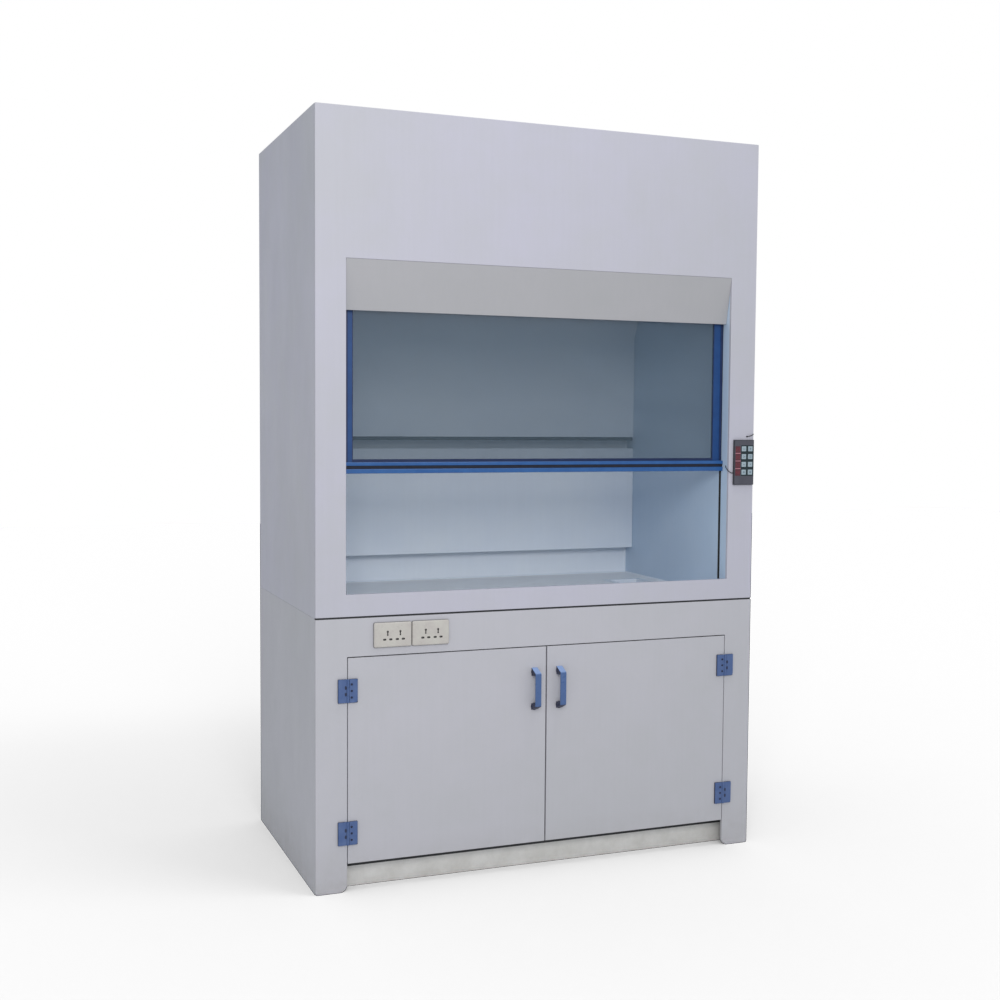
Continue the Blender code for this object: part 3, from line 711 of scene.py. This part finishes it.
def cabinet_fittings():
    """Catches behind the rail, battens under the shelf, weld beads round the floor."""
    floor_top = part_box("base_floor_panel")[1].z
    shelf_low, shelf_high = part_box("inner_shelf")
    side_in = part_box("base_side_right")[0].x
    back_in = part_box("base_back_panel")[0].y
    rail_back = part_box("base_front_frame")[1].y
    mesh = new_mesh()
    for sign in SIDES.values():
        xs = sorted((sign * (side_in - 0.0202), sign * (side_in - 0.0002)))
        slab(mesh, (xs[0], shelf_low.y, shelf_low.z - 0.0205), (xs[1], back_in - 0.001, shelf_low.z - 0.0005))
    piece("shelf_battens", mesh, "root", SHELL, slot="shell_sheet", bevel=0.0015)
    mesh = new_mesh()
    weld_bead(mesh, (shelf_low.x, back_in, floor_top), (shelf_high.x, back_in, floor_top), -Y, Z)
    front_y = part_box("base_floor_panel")[0].y
    for sign in SIDES.values():
        x = sign * side_in
        weld_bead(mesh, (x, front_y, floor_top), (x, back_in, floor_top), (-sign, 0, 0), Z)
    piece("cabinet_welds", mesh, "root", SHELL, slot="shell_sheet")
    for side, sign in SIDES.items():
        x = sign * 0.095
        door_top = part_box(f"door_{side}")[1]
        body = new_mesh()
        blocks = ((0.020, SEAT, 0.026, 0.004, 0.018), (0.012, 0.010, 0.024, -0.014, 0.0039))
        for reach, near, far, z0, z1 in blocks:
            low = (x - reach, rail_back + near, door_top.z + z0)
            slab(body, low, (x + reach, rail_back + far, door_top.z + z1))
        piece(f"catch_{side}", body, "root", RUBBER_AND_SHADE, slot="pulley_nylon", bevel=0.0012)
        strike = new_mesh()
        y0 = door_top.y + SEAT
        slab(strike, (x - 0.014, y0, door_top.z - 0.024), (x + 0.014, y0 + 0.0015, door_top.z - 0.006))
        piece(f"catch_plate_{side}", strike, f"door_{side}", STEEL, slot="steel", bevel=0.0004)


# ---- outlets and controls


def keyhole(centre):
    """A slot with a wide round top and a narrower round foot."""
    x, z = centre
    top, foot = (x, z + 0.0046), (x, z - 0.0054)
    upper = circle(top, 0.0034, 14, -pi / 3.2, pi + 2 * pi / 3.2)
    lower = circle(foot, 0.0026, 12, pi * 0.72, pi + 2 * pi * 0.28)
    return upper + lower


def outlet_plate(number):
    """A pillow-edged plate with two outlets, each a keyhole over two round-ended slots."""
    name = f"outlet_plate_{number}"
    low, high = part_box(name)
    centre, size = front_view(name)
    holes = []
    for from_left in (0.0425, 0.0823):
        x = low.x + from_left
        holes.append(keyhole((x, low.z + 0.043)))
        for across in (-0.0095, 0.0095):
            holes.append(rounded_rect((x + across, low.z + 0.024), (0.0105, 0.0060), 0.0029))
    # A grey plate a little larger than the moulding, behind its front: painted shade on the moulding's sides.
    mesh = new_mesh()
    moulding(mesh, centre, (size[0] + 0.0006, size[1] + 0.0012), 0.005, high.y, low.y + 0.0048, 0.0004)
    piece(name + "_seal", mesh, "root", OUTLET_SHADE, slot="outlet_plastic")
    # The pockets take the near-black pocket colour: painted shade in the holes.
    mesh = new_mesh()
    moulding(mesh, centre, size, 0.005, high.y - SEAT, low.y, 0.0046, holes)
    made = piece(name + "_moulding", mesh, "root", OUTLET, POCKET_SHADE, slot="outlet_plastic", crease=40)
    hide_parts(name)


# Where the bars of a seven-segment digit stand, in half heights, under their usual letters
SEGMENTS = {
    "a": (0.0, 1.0),
    "b": (0.5, 0.5),
    "c": (0.5, -0.5),
    "d": (0.0, -1.0),
    "e": (-0.5, -0.5),
    "f": (-0.5, 0.5),
    "g": (0.0, 0.0),
}
DIGITS = {0: "abcdef", 2: "abdeg", 4: "bcfg", 5: "acdfg", 8: "abcdefg"}


def digit(mesh, value, centre, height, near, far):
    """A seven-segment digit as thin bars."""
    half = height / 2
    for letter in DIGITS[value]:
        across, up = SEGMENTS[letter]
        x, z = centre[0] + across * half, centre[1] + up * half
        long, thin = half * 0.40, height * 0.055
        reach = (thin, long) if across else (long * 0.95, thin)
        slab(mesh, (x - reach[0], near, z - reach[1]), (x + reach[0], far, z + reach[1]))


def sheet(outline, holes, near, far, name, material):
    """A thin flat overlay that faces -Y, cut out round the holes."""
    mesh = new_mesh()
    faces = []
    for y in (near, far):
        rim = ring(mesh, [(x, y, z) for x, z in outline])
        mouths = [ring(mesh, [(x, y, z) for x, z in hole]) for hole in holes]
        fill_between(mesh, rim, mouths)
        faces.append([rim, *mouths])
    for front_loop, back_loop in zip(*faces):
        skin(mesh, front_loop, back_loop)
    piece(name, mesh, "root", material, slot="control_housing")


def control_face():
    """Overlay sheet, bezel round the keys, four display windows with digits, and divider strips."""
    low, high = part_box("control_panel")
    front = low.y
    holes = [rounded_rect(*front_view(f"key_{number}", 0.001), 0.0016) for number in range(1, 9)]
    proud = 0.0006
    x0, x1 = low.x + 0.0262, high.x - 0.0022
    z0, z1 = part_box("key_8")[0].z - 0.0035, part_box("key_1")[1].z + 0.0035
    bezel_centre = ((x0 + x1) / 2, (z0 + z1) / 2)
    opening = rounded_rect(bezel_centre, (x1 - x0, z1 - z0), 0.002)
    outline = rounded_rect(*front_view("control_panel", -0.004), 0.003)
    sheet(outline, [opening], front - proud, front - SEAT, "control_overlay", OVERLAY)
    bezel = rounded_rect(bezel_centre, (x1 - x0 - 0.0004, z1 - z0 - 0.0004), 0.002)
    sheet(bezel, holes, front - proud - 0.0003, front - SEAT, "keypad_bezel", BEZEL)

    left = low.x + 0.0045
    window = (0.0190, 0.0215)
    top = high.z - 0.0215
    pitch = 0.0255
    windows, lit, bars = new_mesh(), new_mesh(), new_mesh()
    window_front = front - 0.0014
    readings = ((2, 5), (0, 8), (5, 0), (4, 2))
    for row, reading in enumerate(readings):
        at = (left + window[0] / 2, top - window[1] / 2 - row * pitch)
        moulding(windows, at, window, 0.0012, front - proud - SEAT, window_front, 0.0005)
        for value, across in zip(reading, (-0.0044, 0.0044)):
            digit(lit, value, (at[0] + across, at[1]), 0.0090, window_front - SEAT, window_front - 0.00015)
        if row:
            bar_at, bar = (at[0] + 0.0008, at[1] + pitch / 2), (window[0] + 0.0016, 0.0026)
            moulding(bars, bar_at, bar, 0.001, front - proud - SEAT, window_front, 0.0004)
    piece("display_windows", windows, "root", WINDOW_RED, slot="control_housing")
    piece("display_digits", lit, "root", LIT_RED, slot="control_housing")
    piece("display_dividers", bars, "root", DIVIDER, slot="control_housing")


def key_marks():
    """A small raised sign on each key: power, lamp, fan, damper, up, down, a disc and a square."""
    unit = 0.001
    arrow = [(-3.2, -2.0), (3.2, -2.0), (0.0, 3.0)]
    power = circle((0, 0), 4.2, 20, pi * 0.68, pi * 1.64) + circle((0, 0), 3.2, 20, pi * 0.32, -pi * 1.64)
    bar = [(-0.5, 0.6), (0.5, 0.6), (0.5, 4.8), (-0.5, 4.8)]
    bulb = circle((0, 0.8), 3.0, 20)
    cap_of_bulb = [(-1.2, -4.4), (1.2, -4.4), (1.2, -2.7), (-1.2, -2.7)]
    blades = []
    for third in range(3):
        turn = 2 * pi * third / 3
        blade = [(0.6, -0.7), (4.0, -1.6), (4.4, 0.6), (3.0, 1.8), (0.6, 0.7)]
        blades.append([(a * cos(turn) - b * sin(turn), a * sin(turn) + b * cos(turn)) for a, b in blade])
    louvres = [rounded_rect((0, z), (8, 1.2), 0.5) for z in (-3.2, 0.0, 3.2)]
    signs = [
        [power, bar],
        [bulb, cap_of_bulb],
        blades,
        louvres,
        [arrow],
        [[(a, -b) for a, b in arrow]],
        [circle((0, 0), 3.4, 20)],
        [rounded_rect((0, 0), (6.4, 6.4), 0.8)],
    ]
    for number, outlines in enumerate(signs, start=1):
        key = f"key_{number}"
        x, z = front_view(key)[0]
        face_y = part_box(key)[0].y
        mesh = new_mesh()
        for outline in outlines:
            at = [(x + a * unit, z + b * unit) for a, b in outline]
            plate(mesh, at, face_y - 0.0002, face_y - SEAT)
        piece(key + "_mark", mesh, key, MARK, slot="key_cap")


LEAD_R = 0.0014


def lead(name, route):
    """A short round black lead along a smooth route, as a curve."""
    points = smooth_route(route)
    curve = bpy.data.curves.new(name, "CURVE")
    curve.dimensions = "3D"
    curve.bevel_depth = LEAD_R
    curve.bevel_resolution = 3
    curve.use_fill_caps = True
    spline = curve.splines.new("POLY")
    spline.points.add(len(points) - 1)
    for spot, point in zip(spline.points, points):
        spot.co = (*point, 1)
    curve.materials.append(RUBBER_AND_SHADE)
    made = placed(name, curve)
    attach(made, "root")


def control_leads():
    """Sensor lead from the jamb to the panel's side, and a supply lead along the post above the panel."""
    low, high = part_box("control_panel")
    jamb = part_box("liner_right")[0].x
    side_y = (low.y + high.y) / 2
    join_z = low.z + 0.0405
    sensor = [
        (low.x, side_y, join_z),
        (low.x - 0.006, side_y - 0.0012, join_z - 0.0010),
        (low.x - 0.0115, FRONT - 0.0034, join_z + 0.0010),
        (jamb - 0.0030, FRONT - 0.0010, join_z + 0.0065),
        (jamb - 0.0038, FRONT + 0.0075, join_z + 0.0130),
        (jamb - 0.0030, FRONT + 0.0150, join_z + 0.0190),
        (jamb, FRONT + 0.0200, join_z + 0.0225),
    ]
    lead("sensor_lead", sensor)
    supply_z = high.z + 0.0110
    start_x, end_x = low.x + 0.0530, CAD_BOX[1].x - 0.0020
    supply = [
        (start_x, FRONT, supply_z),
        (start_x + 0.0030, FRONT - 0.0042, supply_z + 0.0008),
        (start_x + 0.0110, FRONT - 0.0054, supply_z + 0.0026),
        (end_x - 0.0025, FRONT - 0.0046, supply_z + 0.0068),
        (end_x, FRONT, supply_z + 0.0080),
    ]
    lead("supply_lead", supply)
    mesh = new_mesh()
    bore = LEAD_R + 0.0002
    grommet = [(bore, 0.0), (0.0030, 0.0), (0.0028, 0.0010), (0.0021, 0.0015), (bore, 0.0015), (bore, 0.0)]
    ends = (((low.x - SEAT, side_y, join_z), -X), ((start_x, FRONT - SEAT, supply_z), -Y))
    for at, normal in ends:
        lathe(mesh, grommet, at, normal, 20)
    piece("lead_grommets", mesh, "root", RUBBER_AND_SHADE, slot="pulley_nylon")


# ---- sash


def sash_trim():
    """Dark blue glazing beads round the glass, a navy strip in the rail's groove as painted shade, brushes down
    both edges, the left one widened as painted shadow of the jamb.
    """
    frame_low, frame_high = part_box("sash_frame")
    glass_low, glass_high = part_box("sash_glass")
    held = 0.009
    x = glass_high.x - held
    z0, z1 = glass_low.z + held, glass_high.z - held
    side_bar, low_bar, top_bar = 0.0026, 0.0080, 0.0030
    mesh = new_mesh()
    for y0, y1 in ((glass_low.y - 0.0016, glass_low.y - SEAT), (glass_high.y + SEAT, glass_high.y + 0.0016)):
        outer = [(-x + SEAT, z0 + SEAT), (x - SEAT, z0 + SEAT), (x - SEAT, z1 - SEAT), (-x + SEAT, z1 - SEAT)]
        edge = x - side_bar
        inner = [(-edge, z0 + low_bar), (edge, z0 + low_bar), (edge, z1 - top_bar), (-edge, z1 - top_bar)]
        rings = [(outer, y0), (inner, y0), (inner, y1), (outer, y1)]
        made = [ring(mesh, [(a, y, b) for a, b in outline]) for outline, y in rings]
        for first, second in zip(made, made[1:] + made[:1]):
            skin(mesh, first, second)
    piece("glazing_bead", mesh, "sash", BEAD_AND_SHADE, slot="pulley_nylon")
    rail_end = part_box("liner_right")[0].x - 0.0006
    slab_y = glass_low.y - 0.0015
    # Strip in the rail's groove: painted shade.
    mesh = new_mesh()
    groove = [
        (frame_low.y + 0.0008, frame_low.z + 0.0228),
        (slab_y - 0.0026, frame_low.z + 0.0238),
        (slab_y - 0.0026, frame_low.z + 0.0142),
        (frame_low.y + 0.0030, frame_low.z + 0.0142),
    ]
    plate(mesh, groove, -rail_end, rail_end, axis="X")
    piece("rail_groove_shade", mesh, "sash", GROOVE_SHADE, slot="pulley_nylon", bevel=0.0005)
    # Brushes down both stiles: the right one 7 mm wide, the left one 17.5 mm wide, its extra width painted
    # shadow of the jamb.
    mesh = new_mesh()
    for sign, wide in ((-1, 0.0175), (1, 0.0070)):
        xs = sorted((sign * (rail_end - wide), sign * rail_end))
        slab(mesh, (xs[0], slab_y - 0.0026, z0 + 0.001), (xs[1], slab_y - SEAT, frame_high.z - 0.002))
    piece("stile_brushes_and_jamb_shadow", mesh, "sash", BEAD_AND_SHADE, slot="pulley_nylon", bevel=0.0006)


def slot_shade_linings():
    """Black linings on both walls of the liners' slots, with flanges behind them: painted shade, making the
    slots read dark like the shaded cavity behind them.
    """
    sash_y = middle("sash_glass").y
    slot, clear = 0.0070, 0.0038
    low_z, high_z = 0.9015, 2.3245
    for side, sign in SIDES.items():
        liner_low, liner_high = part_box(f"liner_{side}")
        inner, outer = sorted((abs(liner_low.x), abs(liner_high.x)))
        mesh = new_mesh()
        for away in (-1, 1):
            wall, face = sash_y + away * (slot - SEAT), sash_y + away * clear
            corners = [
                (sign * (inner + 0.0002), wall),
                (sign * (outer + 0.0002), wall),
                (sign * (outer + 0.0002), wall + away * 0.006),
                (sign * (outer + 0.0030), wall + away * 0.006),
                (sign * (outer + 0.0030), face),
                (sign * (inner + 0.0002), face),
            ]
            plate(mesh, corners, low_z, high_z, axis="Z")
        piece(f"sash_guide_{side}", mesh, "root", RUBBER_AND_SHADE, slot="pulley_nylon", bevel=0.0004)


# ---- counterbalance


CABLE_R = 0.0014
LUG_RISE = 0.0703  # the sash lug's top stands this far above the counterweight's, at rest


def cables(side):
    """Wire rope in three parts: sash run, wrap over the pulley, weight run, with swaged ends."""
    name = f"sash_cable_{side}"
    low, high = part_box(name)
    pulley = middle(f"pulley_{side}")
    reach = (high.y - low.y) / 2 - 0.0015
    weight = f"counterweight_{side}"
    weight_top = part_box(weight)[1].z
    x, steps = pulley.x, 48
    ends = (
        ("sash", "sash", pulley.y - reach, weight_top + LUG_RISE, 0.0),
        ("weight", weight, pulley.y + reach, weight_top, 0.0003),
    )
    for part, body, y, z, clear in ends:
        drop = z + clear - pulley.z
        mesh = new_mesh()
        tube(mesh, [Vector((x, y, pulley.z + drop * step / steps)) for step in range(steps + 1)], CABLE_R)
        run = piece(f"{name}_{part}_run", mesh, None, STEEL, slot="steel")
        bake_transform(run)
        if part == "sash":
            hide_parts(name)
    mesh = new_mesh()
    angles = [pi * step / 24 for step in range(25)]
    wrap = [Vector((x, pulley.y - reach * cos(a), pulley.z + reach * sin(a))) for a in angles]
    tube(mesh, wrap, CABLE_R)
    piece(name + "_wrap", mesh, "root", STEEL, slot="steel")
    bore = CABLE_R + 0.0001
    swage = [(bore, 0.0), (0.0040, 0.0), (0.0040, 0.020), (0.0026, 0.024), (bore, 0.024), (bore, 0.0)]
    for part, body, y, z, _ in ends:
        mesh = new_mesh()
        lathe(mesh, swage, (x, y, z + 0.0004), Z, 16)
        piece(f"{name}_{part}_swage", mesh, body, STEEL, slot="steel")


def bracket_bolts(side):
    low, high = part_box(f"pulley_bracket_{side}")
    mesh = new_mesh()
    x = (low.x + high.x) / 2
    for y in (low.y + 0.006, high.y - 0.006):
        hexagon = circle((x, y), 0.0042, 6)
        plate(mesh, hexagon, high.z - 0.0062, high.z - 0.0031, axis="Z")
    for sign in (-1, 1):
        end = high.x if sign > 0 else low.x
        clip = [(0.0030, 0.0), (0.0064, 0.0), (0.0064, 0.0010), (0.0030, 0.0010), (0.0030, 0.0)]
        at = (end - sign * 0.0014, (low.y + high.y) / 2, middle(f"pulley_{side}").z)
        lathe(mesh, clip, at, (sign, 0, 0), 20)
    piece(f"pulley_bracket_{side}_bolts", mesh, "root", STEEL, slot="steel", bevel=0.0003)


# ---- chamber, roof and back


def chamber_welds():
    """Weld beads along the worktop and up the rear corners."""
    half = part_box("liner_right")[0].x
    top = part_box("worktop")[1].z
    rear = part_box("rear_liner")[0].y
    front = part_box("front_panel")[1].y
    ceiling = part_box("chamber_ceiling")[0].z
    mesh = new_mesh()
    weld_bead(mesh, (-half, rear, top), (half, rear, top), -Y, Z)
    for sign in SIDES.values():
        inward = (-sign, 0, 0)
        weld_bead(mesh, (sign * half, front, top), (sign * half, rear, top), inward, Z, 0.0035)
        weld_bead(mesh, (sign * half, rear, top), (sign * half, rear, ceiling), inward, -Y, 0.0035)
    piece("chamber_welds", mesh, "root", CHAMBER, slot="chamber_sheet")


def baffle_spacers():
    """Round sleeves between the baffles and the rear liner."""
    low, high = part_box("baffle_lower")
    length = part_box("rear_liner")[0].y - high.y - 2 * SEAT
    sleeve = [(0.0, 0.0), (0.009, 0.0), (0.009, length), (0.0, length)]
    mesh = new_mesh()
    for z in (low.z + 0.05, high.z - 0.05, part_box("baffle_upper")[0].z + 0.06):
        for x in (-0.45, 0.0, 0.45):
            lathe(mesh, sleeve, (x, high.y + SEAT, z), Y)
    piece("baffle_spacers", mesh, "root", CHAMBER, slot="chamber_sheet")


def lamp_details():
    """Ribbed lens in the ceiling and the tube behind it."""
    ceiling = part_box("chamber_ceiling")[0].z
    lamp_low, lamp_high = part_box("lamp_housing")
    rim = 0.0205
    lens_low = Vector((lamp_low.x + rim, lamp_low.y + rim, ceiling + 0.002))
    lens_high = Vector((lamp_high.x - rim, lamp_high.y - rim, ceiling + 0.006))
    mesh = new_mesh()
    ribs = 22
    width = lens_high.y - lens_low.y
    outline = [(lens_low.y, lens_high.z), (lens_high.y, lens_high.z)]
    for step in range(2 * ribs + 1):
        y = lens_high.y - width * step / (2 * ribs)
        outline.append((y, lens_low.z - 0.0016 + 0.0016 * (step % 2)))
    plate(mesh, outline, lens_low.x, lens_high.x, axis="X")
    piece("lamp_lens", mesh, "root", DIFFUSER, slot="outlet_plastic", crease=20)
    mesh = new_mesh()
    tube_z, tube_y = lamp_low.z + 0.032, (lamp_low.y + lamp_high.y) / 2
    reach = lamp_high.x - 0.02
    half_tube = [(0.0, reach), (0.006, reach), (0.0075, reach - 0.001)]
    whole_tube = [(radius, -along) for radius, along in half_tube] + half_tube[::-1]
    lathe(mesh, whole_tube, (0, tube_y, tube_z), X, 20)
    piece("lamp_tube", mesh, "root", TUBE_WHITE, slot="outlet_plastic")


def sink_strainer():
    """A steel grate on the bowl's floor."""
    sink_low, sink_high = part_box("cup_sink")
    x, y = (sink_low.x + sink_high.x) / 2, (sink_low.y + sink_high.y) / 2
    bowl_floor = sink_low.z + 0.060
    mesh = new_mesh()
    strainer = [(0.0, 0.0), (0.030, 0.0), (0.030, 0.0012), (0.026, 0.0022), (0.0, 0.0014)]
    lathe(mesh, strainer, (x, y, bowl_floor), Z, 32)
    piece("sink_strainer", mesh, "root", STEEL, slot="steel")


def ring_bead(mesh, centre, radius, size, steps=120):
    """A rippled weld bead round a circle, in the corner between a wall and a flat face below it."""
    rings = []
    for step in range(steps):
        angle = 2 * pi * step / steps
        outward = Vector((cos(angle), sin(angle), 0))
        swell = size * (1 + 0.10 * (step % 3))
        bulge = [(0, 0)] + [(swell * cos(a), swell * sin(a)) for a in FILLET]
        rings.append([Vector(centre) + outward * (radius + SEAT + a) + Z * (SEAT + b) for a, b in bulge])
    made = [ring(mesh, points) for points in rings]
    for first, second in zip(made, made[1:] + made[:1]):
        skin(mesh, first, second)


def roof_details():
    low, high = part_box("exhaust_collar")
    x, y = (low.x + high.x) / 2, (low.y + high.y) / 2
    flange_r = (high.x - low.x) / 2
    flange_top = low.z + 0.006
    mesh = new_mesh()
    ring_bead(mesh, (x, y, flange_top), flange_r - 0.030, 0.004)
    ring_bead(mesh, (x, y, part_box("hood_top_panel")[1].z), flange_r, 0.0045, 150)
    piece("collar_welds", mesh, "root", SHELL, slot="shell_sheet")
    mesh = new_mesh()
    for step in range(8):
        angle = 2 * pi * (step + 0.5) / 8
        at = (x + (flange_r - 0.011) * cos(angle), y + (flange_r - 0.011) * sin(angle), flange_top)
        screw_head(mesh, at, Z, 0.0052)
    piece("collar_screws", mesh, "root", STEEL, slot="steel")


def painted_shade_strips():
    """Dark strips under the upper baffle's edge and along the top of the plinth, both mostly hidden: painted
    shadow on the rear liner below the baffle, and painted shade under the doors.
    """
    baffle_low, baffle_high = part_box("baffle_upper")
    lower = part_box("baffle_lower")
    half = baffle_high.x - 0.0005
    # Strip behind the slot under the upper baffle: painted shadow on the rear liner.
    mesh = new_mesh()
    low = (-half, lower[1].y + SEAT, baffle_low.z - 0.0130)
    slab(mesh, low, (half, lower[1].y + 0.0024, baffle_low.z + 0.020))
    piece("baffle_seal", mesh, "root", RUBBER_AND_SHADE, slot="pulley_nylon", bevel=0.0005)
    # Strip along the top of the plinth: painted shade under the doors.
    low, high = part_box("plinth_board")
    mesh = new_mesh()
    reach = high.x - 0.001
    slab(mesh, (-reach, low.y - 0.0022, high.z - 0.0262), (reach, low.y - SEAT, high.z - 0.0005))
    piece("plinth_seal", mesh, "root", RUBBER_AND_SHADE, slot="pulley_nylon", bevel=0.0005)


def back_details():
    """Screws along the back sheets, and weld beads where they meet the sides."""
    mesh, beads = new_mesh(), new_mesh()
    for name in ("base_back_panel", "hood_back_panel"):
        low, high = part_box(name)
        across = [low.x + 0.022 + (high.x - low.x - 0.044) * step / 6 for step in range(7)]
        count = 3 if name.startswith("base") else 5
        up = [low.z + 0.03 + (high.z - low.z - 0.06) * step / count for step in range(count + 1)]
        spots = [(x, z) for x in across for z in (up[0], up[-1])]
        spots += [(x, z) for x in (across[0], across[-1]) for z in up[1:-1]]
        for x, z in spots:
            screw_head(mesh, (x, high.y, z), Y, 0.0046)
        for sign in SIDES.values():
            side_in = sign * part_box("hood_side_right")[0].x
            weld_bead(beads, (side_in, high.y, low.z), (side_in, high.y, high.z), (-sign, 0, 0), Y, 0.0022)
    piece("back_screws", mesh, "root", STEEL, slot="steel")
    piece("back_welds", beads, "root", SHELL, slot="shell_sheet")


def seam_shade_strip():
    """A dark strip set back in the joint between the hood and the base: painted shade, making the joint read
    dark.
    """
    base_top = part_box("base_front_frame")[1].z
    hood_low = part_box("front_panel")[0].z
    half = CAD_BOX[1].x - 0.0005
    mesh = new_mesh()
    slab(mesh, (-half, FRONT + 0.0050, base_top + SEAT), (half, FRONT + 0.0110, hood_low - SEAT))
    piece("seam_shade_strip", mesh, "root", RUBBER_AND_SHADE, slot="pulley_nylon")


# ---- studio


AMBIENT = 0.66
LIGHTS = {
    "key": ((-1.2, -3.9, 2.6), (0.0, -0.4, 1.4), (1.6, 1.2), 58, (1.0, 0.985, 0.97)),
    "top": ((0.5, -1.2, 4.5), (0.0, -0.4, 0.8), (1.2, 0.8), 24, (1.0, 0.985, 0.975)),
}


def studio():
    """Pale floor, even white surroundings, a soft light from the front left and a weaker one from above."""
    data = bpy.data.meshes.new("floor")
    reach = 14
    corners = [(-reach, -reach, 0), (reach, -reach, 0), (reach, reach, 0), (-reach, reach, 0)]
    data.from_pydata(corners, [], [(0, 1, 2, 3)])
    floor = placed("floor", data)
    data.materials.append(Paint("studio_floor", (0.8, 0.8, 0.8), 0.9).made)
    floor.is_shadow_catcher = True

    world = bpy.data.worlds.new("studio")
    bpy.context.scene.world = world
    world.use_nodes = True
    tree = world.node_tree
    tree.nodes.clear()
    seen, lighting, mixed, out, path = (
        tree.nodes.new("ShaderNode" + kind)
        for kind in ("Background", "Background", "MixShader", "OutputWorld", "LightPath")
    )
    seen.inputs["Color"].default_value = (1, 1, 1, 1)
    lighting.inputs["Color"].default_value = (0.92, 0.96, 1.0, 1)
    lighting.inputs["Strength"].default_value = AMBIENT
    tree.links.new(path.outputs["Is Camera Ray"], mixed.inputs[0])
    tree.links.new(lighting.outputs[0], mixed.inputs[1])
    tree.links.new(seen.outputs[0], mixed.inputs[2])
    tree.links.new(mixed.outputs[0], out.inputs[0])

    for name, (place, target, size, power, colour) in LIGHTS.items():
        light = bpy.data.lights.new(name, "AREA")
        light.shape = "RECTANGLE"
        light.size, light.size_y = size
        light.energy = power
        light.color = colour
        aim = (Vector(target) - Vector(place)).to_track_quat("-Z", "Y")
        placed(name, light).matrix_world = Matrix.Translation(place) @ aim.to_matrix().to_4x4()


def camera():
    data = bpy.data.cameras.new("camera")
    data.sensor_width = 36
    data.lens = 47.88
    data.clip_end = 60
    yaw, pitch, roll = radians(21.513), radians(-3.373), radians(0.412)
    ahead = Vector((sin(yaw) * cos(pitch), cos(yaw) * cos(pitch), sin(pitch)))
    level = Vector((cos(yaw), -sin(yaw), 0))
    above = level.cross(ahead)
    right = cos(roll) * level + sin(roll) * above
    up = cos(roll) * above - sin(roll) * level
    turn = Matrix((right, up, -ahead)).transposed().to_4x4()
    made = placed("camera", data)
    made.matrix_world = Matrix.Translation((-1.6801, -4.24, 1.428)) @ turn
    bpy.context.scene.camera = made


bpy.context.scene.view_settings.view_transform = "Standard"
camera()
studio()
control_leads()
dress_all()
for side in SIDES:
    door_handle(side)
    door_backs(side)
    for level in LEVELS:
        hinge_details(side, level)
    cables(side)
    bracket_bolts(side)
cabinet_fittings()
for number in (1, 2):
    outlet_plate(number)
control_face()
key_marks()
sash_trim()
slot_shade_linings()
chamber_welds()
baffle_spacers()
lamp_details()
sink_strainer()
roof_details()
painted_shade_strips()
back_details()
seam_shade_strip()
